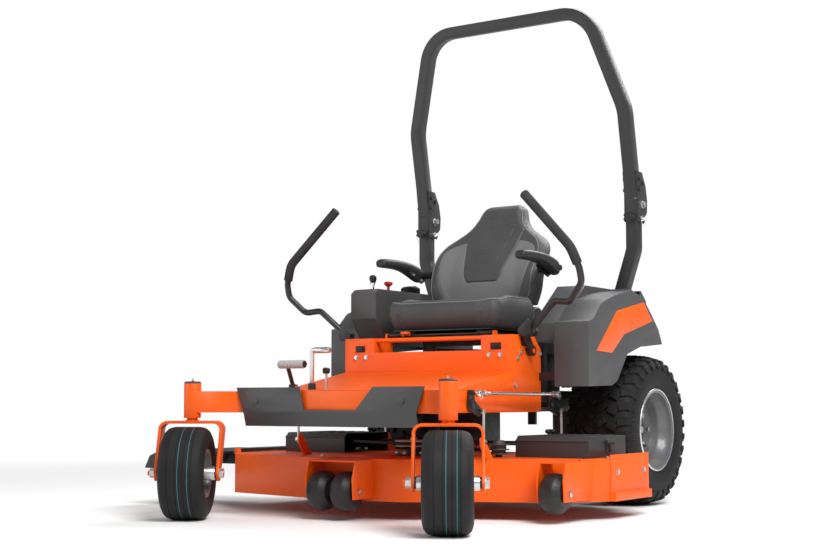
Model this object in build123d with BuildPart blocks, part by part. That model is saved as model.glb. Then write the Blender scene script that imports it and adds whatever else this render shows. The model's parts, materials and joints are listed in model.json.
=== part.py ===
"""Zero turn mower with a sixty-inch deck, modelled as the separate pieces it is assembled from.

Working frame: X to the operator's left, Y to the rear, Z up, millimetres, with the rear axle over
Y = 0 and the ground at Z = 0. Finished pieces are written in the part's own frame, whose origin
lies on the ground under the middle of the machine.
"""
import os
from math import atan2, cos, degrees, hypot, radians, sin

from build123d import *

os.makedirs("parts", exist_ok=True)

# ---------------------------------------------------------------- clearances
RUN_GAP = 0.3  # between curved or flat faces of different bodies
PIN_GAP = 0.05  # radial, pin or shaft in its bore

# ---------------------------------------------------------------- wheels
REAR_TYRE_R = 305.0
REAR_TYRE_W = 290.0
REAR_WHEEL_X = 475.0
REAR_RIM_R = 152.4
REAR_AXLE_R = 17.4
CASTER_TYRE_R = 165.0
CASTER_TYRE_W = 165.0
CASTER_SHOULDER = 28.0
CASTER_RIM_R = 76.2
CASTER_BOLT_R = 9.5
CASTER_PIVOT_X = 548.0
CASTER_PIVOT_Y = -1511.0
CASTER_TRAIL = 73.0
CASTER_REST_TURN = 31.0
FORK_WIDTH = 232.0
FORK_BAR = 10.0
FORK_TOP_Z = 350.0
SPINDLE_R = 12.7
HOUSING_R = 31.0
HOUSING_LOW_Z = 360.0
HOUSING_TOP_Z = 485.0

# ---------------------------------------------------------------- frame
RAIL_LOW_Z = 380.0
RAIL_TOP_Z = 457.0
RAIL_OUT_X = 386.0
RAIL_W = 60.0
TUBE_WALL = 5.0
SHEET = 4.0
BUMPER_Y = -1434.0
BUMPER_HALF = 372.0
BUMPER_EAR = 34.0
BUMPER_LOW_Z = 332.0
BUMPER_FOLD_Z = 378.0
BUMPER_TOP_Z = 470.0
BUMPER_SHEET = 5.0
BEAM_FRONT_Y = -1418.0
BEAM_BACK_Y = -1342.0
TOWER_FRONT_Y = -793.0
TOWER_BACK_Y = -580.0
TOWER_FACE_Z = 612.0
TOWER_TOP_Z = 669.0
TOWER_BOX_X = 246.0
RAMP_START_Y = -1190.0
RAMP_TOP_Z = 535.0
REAR_RAIL_IN = 238.0
REAR_RAIL_OUT = 288.0
REAR_END_Y = 340.0
DECK_PLATE_TOP_Z = 463.0

# ---------------------------------------------------------------- roll bar
ROPS_TUBE = 50.8
ROPS_WALL = 5.0
ROPS_X = 514.0
ROPS_POST_Y = 11.0
ROPS_LEAN = 11.5
ROPS_PIVOT_Y = 30.0
ROPS_PIVOT_Z = 1239.0
ROPS_PIN_Z = 1181.0
ROPS_PLATE = 6.0
ROPS_PLATE_LOW_Z = 1160.0
ROPS_PLATE_TOP_Z = 1375.0
POST_TOP_Z = 1262.0
POST_BEND_Z = 1050.0
POST_FOOT_X = 385.0
POST_FOOT_Z = 650.0
HOOP_KNEE_Z = 1635.0
HOOP_SHOULDER_X = 384.0
HOOP_TOP_Z = 2050.0
HOOP_CORNER_R = 150.0
PIVOT_BOLT_R = 8.0
LOCK_PIN_R = 6.3

# ---------------------------------------------------------------- steering levers
LEVER_TUBE_R = 12.5
LEVER_GRIP_R = 18.0
LEVER_PIVOT_X = 434.0
LEVER_PIVOT_Y = -731.0
LEVER_PIVOT_Z = 680.0
LEVER_BASE_Y = -680.0
LEVER_BASE_Z = 610.0
LEVER_STUD_R = 9.0
LEVER_PIN_R = 5.0
LEVER_ROUTE = [
    (434.0, -731.0, 694.0),
    (539.0, -757.0, 790.0),
    (609.0, -765.0, 783.0),
    (672.0, -796.0, 850.0),
    (670.0, -811.0, 901.0),
    (642.0, -825.0, 978.0),
    (438.0, -793.0, 1189.0),
]
LEVER_BENDS = [35.0, 35.0, 45.0, 70.0, 90.0]

# ---------------------------------------------------------------- seat
SEAT_HALF = 253.0
SEAT_FRONT_Y = -706.0
SEAT_BACK_Y = -400.0
CUSHION_LOW_Z = 703.0
CUSHION_TOP_Z = 806.0
SEAT_HINGE_Y = -690.0
SEAT_HINGE_Z = 683.0
SEAT_HINGE_R = 5.0
ARM_X = 327.0
ARM_W = 60.0
ARM_PIVOT_Y = -345.0
ARM_PIVOT_Z = 955.0

# ---------------------------------------------------------------- fenders and console
FENDER_OUT_X = 600.0
FENDER_STEP_X = 455.0
FENDER_SHOULDER_X = 520.0
FENDER_SHOULDER_Y = -150.0
FENDER_IN_X = 330.0
FENDER_WALL = 5.0
FENDER_FRONT_Y = -600.0
FENDER_LOW_Z = 476.0
FENDER_INNER_TOP_Z = 880.0
CONSOLE_FRONT_Y = -660.0
CAP_R = 42.0
CAP_X = 412.0
CAP_Y = -280.0
THROTTLE_X = 400.0
THROTTLE_Y = -581.0
THROTTLE_PIVOT_Z = 840.0
THROTTLE_PIN_R = 4.0
PTO_X = 378.0
PTO_Y = -500.0
PTO_STEM_R = 6.0
KEY_Y = -620.0
KEY_STEM_R = 4.0

# ---------------------------------------------------------------- mower deck
DECK_LOW_Z = 66.0
DECK_TOP_Z = 216.0
DECK_SHEET = 5.0
DECK_LEFT_X = 760.0
DECK_RIGHT_X = -770.0
DECK_REAR_Y = -330.0
SPINDLES = {"left": (490.0, -610.0), "centre": (0.0, -880.0), "right": (-490.0, -610.0)}
BLADE_R = 262.0
BLADE_Z = 100.0
PULLEY_R = 72.0
PULLEY_Z = 262.0
DECK_SHAFT_R = 12.7
ROLLER_R = 71.0
ROLLER_Z = 103.0
ROLLER_BOLT_R = 6.3
CHUTE_END_X = -1150.0
CHUTE_HINGE_Z = 222.0
LIFT_SHAFT_R = 12.5
FRONT_SHAFT_Y = -1113.0
REAR_SHAFT_Y = -520.0
LIFT_SHAFT_Z = 408.0
CRANK_ROD_RISE = 40.0
CRANK_ARM_Y = 54.4
CRANK_DROP = 25.4
CRANK_IN_X = 390.0
CRANK_SHEET = 8.0
CRANK_PIN_R = 5.0
HANGER_PIN_R = 6.0
HANGER_R = 5.0
SLOT_PLAY = 0.9
LIFT_ROD_X = 426.0
LIFT_ROD_R = 6.5

# ---------------------------------------------------------------- rear end
GUARD_REACH_Y = 430.0
GUARD_TUBE_R = 16.0
GUARD_TOP_Z = 640.0
HITCH_HOLE_R = 9.5
HITCH_Y = 415.0
HITCH_Z = 378.0
HITCH_SHEET = 10.0
ACCESSORY_HOLE_R = 5.5
ACCESSORY_SPACING_X = 200.0
ACCESSORY_SPACING_Z = 40.0
ACCESSORY_Z = 420.5

# The part's own origin lies on the ground under the middle of the outermost pieces.
turn = radians(CASTER_REST_TURN)
tread_half = CASTER_TYRE_W / 2 - CASTER_SHOULDER
front_reach = (CASTER_TRAIL + CASTER_TYRE_R) * cos(turn) + tread_half * sin(turn)
MIDDLE_X = (DECK_LEFT_X + 15.0 + CHUTE_END_X) / 2
MIDDLE_Y = (CASTER_PIVOT_Y - front_reach + GUARD_REACH_Y + GUARD_TUBE_R) / 2
TO_PART_FRAME = Location((-MIDDLE_X, -MIDDLE_Y, 0))


# ---------------------------------------------------------------- helpers
def save(pieces, label, place=Location(), mirrored=False):
    """Set one finished piece, or a group of them, in the part's frame and write its STEP file."""
    group = pieces if isinstance(pieces, tuple) else (pieces,)
    shape = Compound([solid for piece in group for solid in piece.part.solids()])
    if mirrored:
        shape = mirror(shape, about=Plane.YZ)
    placed = shape.moved(TO_PART_FRAME * place)
    placed.label = label
    export_step(placed, f"parts/{label}.step")


def outlined(points, plane, depth, mode=Mode.ADD, corner=0.0, shrink=0.0):
    """Extrude a closed outline drawn on a plane, with its corners rounded or its edge moved inward."""
    with BuildSketch(plane) as face:
        with BuildLine():
            Polyline(*points, close=True)
        make_face()
        if shrink:
            offset(amount=-shrink, kind=Kind.INTERSECTION, mode=Mode.REPLACE)
        if corner:
            fillet(face.vertices(), corner)
    extrude(face.sketch, amount=depth, mode=mode)


def across(points, x_span, **how):
    """Extrude a side outline of (Y, Z) points between two X limits."""
    outlined(points, Plane.YZ.offset(x_span[0]), x_span[1] - x_span[0], **how)


def along(points, y_span, **how):
    """Extrude a front outline of (X, Z) points between two Y limits."""
    outlined(points, Plane.XZ.offset(-y_span[1]), y_span[1] - y_span[0], **how)


def raised(points, z_span, **how):
    """Extrude a plan outline of (X, Y) points between two heights."""
    outlined(points, Plane.XY.offset(z_span[0]), z_span[1] - z_span[0], **how)


def block(x_span, y_span, z_span, **how):
    """Add a rectangular block between two limits on each axis."""
    corners = [(x_span[0], y_span[0]), (x_span[1], y_span[0]), (x_span[1], y_span[1]), (x_span[0], y_span[1])]
    raised(corners, z_span, **how)


def rod(start, end, radius, mode=Mode.ADD):
    """Add a round bar, or cut a round hole, between two points."""
    axis = Vector(*end) - Vector(*start)
    with BuildSketch(Plane(origin=start, z_dir=axis)) as face:
        Circle(radius)
    extrude(face.sketch, amount=axis.length, mode=mode)


def hex_head(centre, axis, across_flats, height):
    """Add a hexagonal bolt head or nut that grows from a point along an axis."""
    with BuildSketch(Plane(origin=centre, z_dir=axis)) as face:
        RegularPolygon(across_flats / 2, 6, major_radius=False)
    extrude(face.sketch, amount=height)


def turned(points, centre, axis, mode=Mode.ADD):
    """Revolve an outline of (distance along the axis, radius) points about that axis."""
    normal = (1, 0, 0) if axis[2] else (0, 0, 1)
    with BuildSketch(Plane(origin=centre, x_dir=axis, z_dir=normal)) as face:
        with BuildLine():
            Polyline(*points, close=True)
        make_face()
    revolve(face.sketch, axis=Axis(centre, axis), mode=mode)


def ring(outside, inside):
    """Close a ring's section from the outer and inner halves of its negative side, bead to crown."""
    outer_far = [(-x, r) for x, r in reversed(outside)]
    inner_far = [(-x, r) for x, r in inside]
    return outside + outer_far + inner_far + list(reversed(inside))


def bent_tube(route, bends, radius, wall=0.0):
    """Sweep a round tube along straight runs joined by arcs."""
    with BuildLine() as path:
        FilletPolyline(*route, radius=bends)
    with BuildSketch(Plane(origin=path.line @ 0, z_dir=path.line % 0)) as face:
        Circle(radius)
        if wall:
            Circle(radius - wall, mode=Mode.SUBTRACT)
    sweep(face.sketch, path.line)


def square_tube(route, bends, plane, width, wall):
    """Sweep a square tube along a flat route drawn on a plane."""
    with BuildLine(plane) as path:
        FilletPolyline(*route, radius=bends)
    with BuildSketch(Plane(origin=path.line @ 0, x_dir=plane.z_dir, z_dir=path.line % 0)) as face:
        Rectangle(width, width)
        Rectangle(width - 2 * wall, width - 2 * wall, mode=Mode.SUBTRACT)
    sweep(face.sketch, path.line)


# ================================================================ drive wheels
rear_centre = (REAR_WHEEL_X, 0, REAR_TYRE_R)
half_tread = REAR_TYRE_W / 2
BEAD_INSET = 18.0
tyre_outside = [
    (-half_tread + BEAD_INSET, REAR_RIM_R + 2),
    (-half_tread + BEAD_INSET, REAR_RIM_R + 17),
    (-half_tread, REAR_TYRE_R * 0.76),
    (-half_tread + 8, REAR_TYRE_R - 30),
    (-half_tread + 32, REAR_TYRE_R - 5),
    (-half_tread + 70, REAR_TYRE_R),
]
tyre_inside = [
    (-half_tread + 32, REAR_RIM_R + 2),
    (-half_tread + 26, REAR_RIM_R + 14),
    (-half_tread + 15, REAR_TYRE_R * 0.76),
    (-half_tread + 42, REAR_TYRE_R - 24),
]

with BuildPart() as rear_tyre:
    turned(ring(tyre_outside, tyre_inside), rear_centre, (1, 0, 0))

DISC_X = 48.0
DISC_SHEET = 8.0
LUG_R = 6.0
LUG_CIRCLE_R = 57.0
BARREL_HALF = half_tread - BEAD_INSET + 0.1
with BuildPart() as rear_rim:
    barrel = REAR_RIM_R + 1.9
    turned([(BARREL_HALF + 8, barrel + 13), (BARREL_HALF, barrel + 13), (BARREL_HALF, barrel),
            (-BARREL_HALF, barrel), (-BARREL_HALF, barrel + 13), (-BARREL_HALF - 8, barrel + 13),
            (-BARREL_HALF - 8, barrel - 5), (DISC_X, barrel - 5), (DISC_X, 40), (DISC_X + DISC_SHEET, 40),
            (DISC_X + DISC_SHEET, barrel - 5), (BARREL_HALF + 8, barrel - 5)], rear_centre, (1, 0, 0))
    with BuildSketch(Plane.YZ.offset(REAR_WHEEL_X + DISC_X)) as lug_holes:
        with Locations((0, REAR_TYRE_R)):
            with PolarLocations(LUG_CIRCLE_R, 4):
                Circle(LUG_R + PIN_GAP)
    extrude(lug_holes.sketch, amount=DISC_SHEET, mode=Mode.SUBTRACT)

HUB_FLANGE_R = 68.0
HYDRO_OUT_X = 322.0
with BuildPart() as rear_hub:
    hub_x = REAR_WHEEL_X + DISC_X
    rod((hub_x - 12, 0, REAR_TYRE_R), (hub_x, 0, REAR_TYRE_R), HUB_FLANGE_R)
    rod((hub_x, 0, REAR_TYRE_R), (hub_x + 16, 0, REAR_TYRE_R), 39.9)
    rod((HYDRO_OUT_X - 45, 0, REAR_TYRE_R), (hub_x, 0, REAR_TYRE_R), REAR_AXLE_R)
    for quarter in range(4):
        lug_y = LUG_CIRCLE_R * cos(radians(90 * quarter))
        lug_z = REAR_TYRE_R + LUG_CIRCLE_R * sin(radians(90 * quarter))
        rod((hub_x, lug_y, lug_z), (hub_x + DISC_SHEET, lug_y, lug_z), LUG_R)
        hex_head((hub_x + DISC_SHEET, lug_y, lug_z), (1, 0, 0), 19, 13)

for hand, mirrored in (("left", False), ("right", True)):
    save(rear_tyre, f"rear_tyre_{hand}", mirrored=mirrored)
    save((rear_rim, rear_hub), f"rear_rim_{hand}", mirrored=mirrored)

# ================================================================ casters, drawn about the swivel axis
wheel_centre = (0, -CASTER_TRAIL, CASTER_TYRE_R)
fork_inside = FORK_WIDTH / 2 - FORK_BAR
half_width = CASTER_TYRE_W / 2

with BuildPart() as caster_tyre:
    bead = CASTER_RIM_R + 2
    sidewall = CASTER_TYRE_R * 0.72
    outside = [(-half_width + 14, bead), (-half_width + 14, bead + 10), (-half_width, sidewall),
               (-half_width + 6, CASTER_TYRE_R - 22), (-half_width + CASTER_SHOULDER, CASTER_TYRE_R)]
    inside = [(-half_width + 26, bead), (-half_width + 14, sidewall), (-half_width + 34, CASTER_TYRE_R - 14)]
    turned(ring(outside, inside), wheel_centre, (1, 0, 0))

CASTER_HUB_R = 24.0
with BuildPart() as caster_rim:
    well = CASTER_RIM_R + 1.9
    lip = half_width - 13.9
    hub_end = fork_inside - 6
    bore = CASTER_BOLT_R + PIN_GAP
    turned([(-lip - 5, well + 8), (-lip, well + 8), (-lip, well), (lip, well), (lip, well + 8),
            (lip + 5, well + 8),
            (lip + 5, well - 5), (lip - 26, well - 5), (lip - 26, CASTER_HUB_R), (hub_end, CASTER_HUB_R),
            (hub_end, bore), (-hub_end, bore), (-hub_end, CASTER_HUB_R), (-lip + 26, CASTER_HUB_R),
            (-lip + 26, well - 5), (-lip - 5, well - 5)], wheel_centre, (1, 0, 0))

with BuildPart() as caster_fork:
    rim_z = FORK_TOP_Z
    with BuildSketch(Plane.XZ.offset(-42)) as channel:
        with BuildLine():
            FilletPolyline((-FORK_WIDTH / 2, 110), (-FORK_WIDTH / 2, rim_z), (FORK_WIDTH / 2, rim_z),
                           (FORK_WIDTH / 2, 110), radius=32)
            Line((FORK_WIDTH / 2, 110), (fork_inside, 110))
            FilletPolyline((fork_inside, 110), (fork_inside, rim_z - FORK_BAR),
                           (-fork_inside, rim_z - FORK_BAR),
                           (-fork_inside, 110), radius=22)
            Line((-fork_inside, 110), (-FORK_WIDTH / 2, 110))
        make_face()
    extrude(channel.sketch, amount=160)
    leg_low_z = CASTER_TYRE_R - 28
    across([(38, rim_z), (38, rim_z - 32), (-CASTER_TRAIL + 28, CASTER_TYRE_R),
            (-CASTER_TRAIL + 20, leg_low_z + 8),
            (-CASTER_TRAIL + 8, leg_low_z), (-CASTER_TRAIL - 8, leg_low_z),
            (-CASTER_TRAIL - 20, leg_low_z + 8),
            (-CASTER_TRAIL - 28, CASTER_TYRE_R), (-38, rim_z - 32), (-38, rim_z)],
           (-FORK_WIDTH / 2, FORK_WIDTH / 2), mode=Mode.INTERSECT)
    rod((-FORK_WIDTH / 2, -CASTER_TRAIL, CASTER_TYRE_R), (FORK_WIDTH / 2, -CASTER_TRAIL, CASTER_TYRE_R),
        CASTER_BOLT_R + PIN_GAP, mode=Mode.SUBTRACT)
    rod((0, 0, rim_z), (0, 0, HOUSING_LOW_Z - RUN_GAP), 20)
    rod((0, 0, rim_z), (0, 0, HOUSING_TOP_Z - 8), SPINDLE_R)

with BuildPart() as caster_axle:
    axle_end = FORK_WIDTH / 2
    rod((-axle_end - 26, -CASTER_TRAIL, CASTER_TYRE_R), (axle_end, -CASTER_TRAIL, CASTER_TYRE_R),
        CASTER_BOLT_R)
    hex_head((axle_end, -CASTER_TRAIL, CASTER_TYRE_R), (1, 0, 0), 29, 12)
    hex_head((-axle_end, -CASTER_TRAIL, CASTER_TYRE_R), (-1, 0, 0), 29, 16)
    for side in (-1, 1):
        spacer = (side * (hub_end + RUN_GAP), -CASTER_TRAIL, CASTER_TYRE_R)
        rod(spacer, (side * fork_inside, -CASTER_TRAIL, CASTER_TYRE_R), 17)

for hand, pivot_x in (("left", CASTER_PIVOT_X), ("right", -CASTER_PIVOT_X)):
    swivel = Location((pivot_x, CASTER_PIVOT_Y, 0), (0, 0, CASTER_REST_TURN))
    save(caster_tyre, f"caster_tyre_{hand}", place=swivel)
    save(caster_rim, f"caster_rim_{hand}", place=swivel)
    save((caster_fork, caster_axle), f"caster_fork_{hand}", place=swivel)

# ================================================================ frame
rail_in_x = RAIL_OUT_X - RAIL_W
rail_z = (RAIL_LOW_Z, RAIL_TOP_Z)
with BuildPart() as main_frame:
    block((-RAIL_OUT_X, RAIL_OUT_X), (BEAM_FRONT_Y, BEAM_BACK_Y), rail_z)
    block((-RAIL_OUT_X, RAIL_OUT_X), (TOWER_BACK_Y - 60, TOWER_BACK_Y), rail_z)
    for side in (-1, 1):
        block(sorted((side * rail_in_x, side * RAIL_OUT_X)), (BEAM_BACK_Y, TOWER_BACK_Y - 60), rail_z)
        pivot = (side * CASTER_PIVOT_X, CASTER_PIVOT_Y)
        arm = [(RAIL_OUT_X - 6, BEAM_BACK_Y - 8), (RAIL_OUT_X - 6, BEAM_FRONT_Y),
               (RAIL_OUT_X + 14, BEAM_FRONT_Y - 6),
               (CASTER_PIVOT_X - 18, CASTER_PIVOT_Y - 21), (CASTER_PIVOT_X + 18, CASTER_PIVOT_Y + 21)]
        raised([(side * x, y) for x, y in arm], rail_z)
        rod((*pivot, HOUSING_LOW_Z), (*pivot, HOUSING_TOP_Z), HOUSING_R)
        rod((*pivot, HOUSING_LOW_Z), (*pivot, HOUSING_TOP_Z), SPINDLE_R + PIN_GAP, mode=Mode.SUBTRACT)
        hollow = sorted((side * (rail_in_x + TUBE_WALL), side * (RAIL_OUT_X - TUBE_WALL)))
        block(hollow, (BEAM_BACK_Y + TUBE_WALL, TOWER_BACK_Y - 60 - TUBE_WALL),
              (RAIL_LOW_Z + TUBE_WALL, RAIL_TOP_Z - TUBE_WALL), mode=Mode.SUBTRACT)
    rod((-RAIL_OUT_X, FRONT_SHAFT_Y, LIFT_SHAFT_Z), (RAIL_OUT_X, FRONT_SHAFT_Y, LIFT_SHAFT_Z),
        LIFT_SHAFT_R + PIN_GAP, mode=Mode.SUBTRACT)
save(main_frame, "main_frame")

bumper_notch = [(-118, BUMPER_TOP_Z), (-99, 390), (124, 390), (197, BUMPER_TOP_Z)]
with BuildPart() as front_bumper:
    face_back = BUMPER_Y + BUMPER_SHEET
    along([(-BUMPER_HALF, BUMPER_FOLD_Z), (BUMPER_HALF, BUMPER_FOLD_Z),
           (BUMPER_HALF + BUMPER_EAR, BUMPER_TOP_Z),
           (-BUMPER_HALF - BUMPER_EAR, BUMPER_TOP_Z)], (BUMPER_Y, face_back))
    across([(BUMPER_Y, BUMPER_FOLD_Z), (BUMPER_Y + 14, BUMPER_LOW_Z), (BUMPER_Y + 19, BUMPER_LOW_Z),
            (face_back, BUMPER_FOLD_Z)], (-BUMPER_HALF, BUMPER_HALF))
    along(bumper_notch, (BUMPER_Y, face_back), mode=Mode.SUBTRACT)
    for side in (-1, 1):
        block(sorted((side * 290, side * 340)), (face_back, BEAM_FRONT_Y), (400, 440))
        rod((side * 315, BUMPER_Y - 5, 420), (side * 315, BUMPER_Y, 420), 12)
save(front_bumper, "front_bumper")

with BuildPart() as bumper_panel:
    along([(-126, BUMPER_TOP_Z - 14), (-107, 384), (130, 384), (205, BUMPER_TOP_Z - 14)],
          (BEAM_FRONT_Y - 3, BEAM_FRONT_Y))

ramp_end_y = TOWER_FRONT_Y - SHEET
with BuildPart() as footrest:
    block((-RAIL_OUT_X, RAIL_OUT_X), (BEAM_FRONT_Y, RAMP_START_Y), (RAIL_TOP_Z, RAIL_TOP_Z + SHEET))
    across([(RAMP_START_Y, RAIL_TOP_Z), (ramp_end_y, RAMP_TOP_Z - SHEET), (ramp_end_y, RAMP_TOP_Z),
            (RAMP_START_Y, RAIL_TOP_Z + SHEET)], (-RAIL_OUT_X, RAIL_OUT_X))
    for side in (-1, 1):
        across([(RAMP_START_Y, RAIL_TOP_Z), (ramp_end_y, RAIL_TOP_Z), (ramp_end_y, RAMP_TOP_Z)],
               sorted((side * (RAIL_OUT_X - SHEET), side * RAIL_OUT_X)))
save(footrest, "footrest")

cheek = [(TOWER_FRONT_Y, RAIL_TOP_Z), (TOWER_FRONT_Y, TOWER_TOP_Z), (-741, TOWER_TOP_Z), (-733, 628),
         (-684, 628),
         (-672, 658), (-633, TOWER_TOP_Z), (TOWER_BACK_Y, 618), (TOWER_BACK_Y, RAIL_TOP_Z)]
LATCH_X = (288.0, 333.0)
with BuildPart() as control_tower:
    block((-RAIL_OUT_X, RAIL_OUT_X), (TOWER_FRONT_Y, TOWER_FRONT_Y + SHEET), (RAIL_TOP_Z, TOWER_FACE_Z))
    block((-RAIL_OUT_X, RAIL_OUT_X), (TOWER_BACK_Y - SHEET, TOWER_BACK_Y), (RAIL_TOP_Z, 600))
    rod((-TOWER_BOX_X, -770, 660), (TOWER_BOX_X, -770, 660), 9)
    for side in (-1, 1):
        across(cheek, sorted((side * (RAIL_OUT_X - SHEET), side * RAIL_OUT_X)))
        block(sorted((side * TOWER_BOX_X, side * RAIL_OUT_X)), (TOWER_FRONT_Y, -741),
              (TOWER_FACE_Z, TOWER_TOP_Z))
        block(sorted((side * (TOWER_BOX_X + SHEET), side * (RAIL_OUT_X - SHEET))),
              (TOWER_FRONT_Y + SHEET, -741),
              (TOWER_FACE_Z, TOWER_TOP_Z - SHEET), mode=Mode.SUBTRACT)
        block(sorted((side * LATCH_X[0], side * LATCH_X[1])), (TOWER_FRONT_Y, TOWER_FRONT_Y + SHEET),
              (614, 640),
              mode=Mode.SUBTRACT)
        inner_wall = sorted((side * TOWER_BOX_X, side * (TOWER_BOX_X + SHEET)))
        block(inner_wall, (-741, -660), (TOWER_FACE_Z - 40, TOWER_TOP_Z))
        block(inner_wall, (TOWER_FRONT_Y + SHEET, -660), (RAIL_TOP_Z, TOWER_FACE_Z))
        ear = [(-710, TOWER_TOP_Z - 6), (-704, SEAT_HINGE_Z + 8), (-676, SEAT_HINGE_Z + 8),
               (-670, TOWER_TOP_Z - 6)]
        across(ear, inner_wall)
        rod((side * 176, SEAT_HINGE_Y, SEAT_HINGE_Z),
            (side * (TOWER_BOX_X + 1), SEAT_HINGE_Y, SEAT_HINGE_Z), SEAT_HINGE_R)
        rod((side * (RAIL_OUT_X - SHEET), LEVER_BASE_Y, LEVER_BASE_Z),
            (side * (RAIL_OUT_X + 26), LEVER_BASE_Y, LEVER_BASE_Z), LEVER_STUD_R)
save(control_tower, "control_tower")

UPRIGHT_Y = (-22.0, 44.0)
REST_BAR_Y = (-372.0, -342.0)
with BuildPart() as rear_frame:
    block((-RAIL_OUT_X + 60, RAIL_OUT_X - 60), (TOWER_BACK_Y, TOWER_BACK_Y + 50), rail_z)
    block((-REAR_RAIL_OUT, REAR_RAIL_OUT), (REAR_END_Y - 50, REAR_END_Y), rail_z)
    block((-REAR_RAIL_OUT, REAR_RAIL_OUT), (-300, REAR_END_Y), (RAIL_TOP_Z, DECK_PLATE_TOP_Z))
    block((-REAR_RAIL_OUT, REAR_RAIL_OUT), REST_BAR_Y, (650, SEAT_HINGE_Z - 3.3))
    for side in (-1, 1):
        rail = sorted((side * REAR_RAIL_IN, side * REAR_RAIL_OUT))
        block(rail, (TOWER_BACK_Y + 50, REAR_END_Y - 50), rail_z)
        block(rail, REST_BAR_Y, (RAIL_TOP_Z, 650))
        block(rail, UPRIGHT_Y, (DECK_PLATE_TOP_Z, POST_FOOT_Z - 10))
        block(sorted((side * REAR_RAIL_IN, side * (POST_FOOT_X + 40))), UPRIGHT_Y,
              (POST_FOOT_Z - 10, POST_FOOT_Z))
        gusset = [(REAR_RAIL_OUT, POST_FOOT_Z - 10), (REAR_RAIL_OUT + 36, POST_FOOT_Z - 10),
                  (REAR_RAIL_OUT, 560)]
        along([(side * x, z) for x, z in gusset], (-6, 28))
    rod((-RAIL_OUT_X, REAR_SHAFT_Y, LIFT_SHAFT_Z), (RAIL_OUT_X, REAR_SHAFT_Y, LIFT_SHAFT_Z),
        LIFT_SHAFT_R + PIN_GAP, mode=Mode.SUBTRACT)
    for hole_x in (-ACCESSORY_SPACING_X / 2, ACCESSORY_SPACING_X / 2):
        for hole_z in (ACCESSORY_Z - ACCESSORY_SPACING_Z / 2, ACCESSORY_Z + ACCESSORY_SPACING_Z / 2):
            rod((hole_x, REAR_END_Y - 50, hole_z), (hole_x, REAR_END_Y, hole_z), ACCESSORY_HOLE_R,
                mode=Mode.SUBTRACT)
save(rear_frame, "rear_frame")

with BuildPart() as engine_guard:
    block((-270, 270), (REAR_END_Y, REAR_END_Y + 6), (RAIL_LOW_Z - 2, DECK_PLATE_TOP_Z))
    guard_z = 440
    bent_tube([(-240, REAR_END_Y + 5, guard_z), (-240, GUARD_REACH_Y, guard_z),
               (-240, GUARD_REACH_Y, GUARD_TOP_Z),
               (240, GUARD_REACH_Y, GUARD_TOP_Z), (240, GUARD_REACH_Y, guard_z),
               (240, REAR_END_Y + 5, guard_z)],
              [50, 60, 60, 50], GUARD_TUBE_R)
    block((-45, 45), (REAR_END_Y + 6, GUARD_REACH_Y + GUARD_TUBE_R), (HITCH_Z, HITCH_Z + HITCH_SHEET))
    rod((0, HITCH_Y, HITCH_Z), (0, HITCH_Y, HITCH_Z + HITCH_SHEET), HITCH_HOLE_R, mode=Mode.SUBTRACT)
    with BuildSketch(Plane.XZ.offset(-REAR_END_Y - 6)) as accessory_holes:
        with Locations((0, ACCESSORY_Z)):
            with GridLocations(ACCESSORY_SPACING_X, ACCESSORY_SPACING_Z, 2, 2):
                Circle(ACCESSORY_HOLE_R)
    extrude(accessory_holes.sketch, amount=6, mode=Mode.SUBTRACT)
save(engine_guard, "engine_guard")

# ================================================================ power unit
ENGINE_Y = 60.0
CRANKCASE_R = 120.0
CYLINDER_R = 62.0
with BuildPart() as engine_block:
    rod((0, ENGINE_Y, DECK_PLATE_TOP_Z), (0, ENGINE_Y, 620), CRANKCASE_R)
    rod((0, ENGINE_Y, 320), (0, ENGINE_Y, DECK_PLATE_TOP_Z - 6 - RUN_GAP), 20)
    for side in (-1, 1):
        head = (side * 165, ENGINE_Y + 165, 555)
        rod((0, ENGINE_Y, 555), head, CYLINDER_R)
        for fin in range(5):
            reach = 0.60 + 0.09 * fin
            start = (head[0] * reach, ENGINE_Y + 165 * reach, 555)
            end = (head[0] * (reach + 0.03), ENGINE_Y + 165 * (reach + 0.03), 555)
            rod(start, end, CYLINDER_R + 14)
with BuildPart() as engine_shroud:
    turned([(0, 150), (90, 150), (118, 128), (118, 60), (126, 60), (126, 0), (0, 0)], (0, ENGINE_Y, 620),
           (0, 0, 1))
    block((-95, 95), (-120, ENGINE_Y), (640, 700))
save((engine_block, engine_shroud), "engine")

MUFFLER_R = 48.0
MUFFLER_Y = 334.0
with BuildPart() as muffler:
    rod((-150, MUFFLER_Y, 560), (150, MUFFLER_Y, 560), MUFFLER_R)
    rod((140, MUFFLER_Y, 530), (185, MUFFLER_Y + 10, 500), 14)
    for side in (-1, 1):
        rod((side * 160, ENGINE_Y + 189, 555), (side * 130, MUFFLER_Y - 20, 560), 14)
save(muffler, "muffler")

with BuildPart() as hydro_drives:
    for side in (-1, 1):
        block(sorted((side * 170, side * 290)), (-75, 75), (240, RAIL_LOW_Z))
        rod((side * 290, 0, REAR_TYRE_R), (side * HYDRO_OUT_X, 0, REAR_TYRE_R), 36)
        rod((side * (HYDRO_OUT_X - 50), 0, REAR_TYRE_R), (side * HYDRO_OUT_X, 0, REAR_TYRE_R),
            REAR_AXLE_R + PIN_GAP, mode=Mode.SUBTRACT)
        rod((side * 225, 40, 240), (side * 225, 40, 205), 58)
save(hydro_drives, "hydro_drives")

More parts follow.
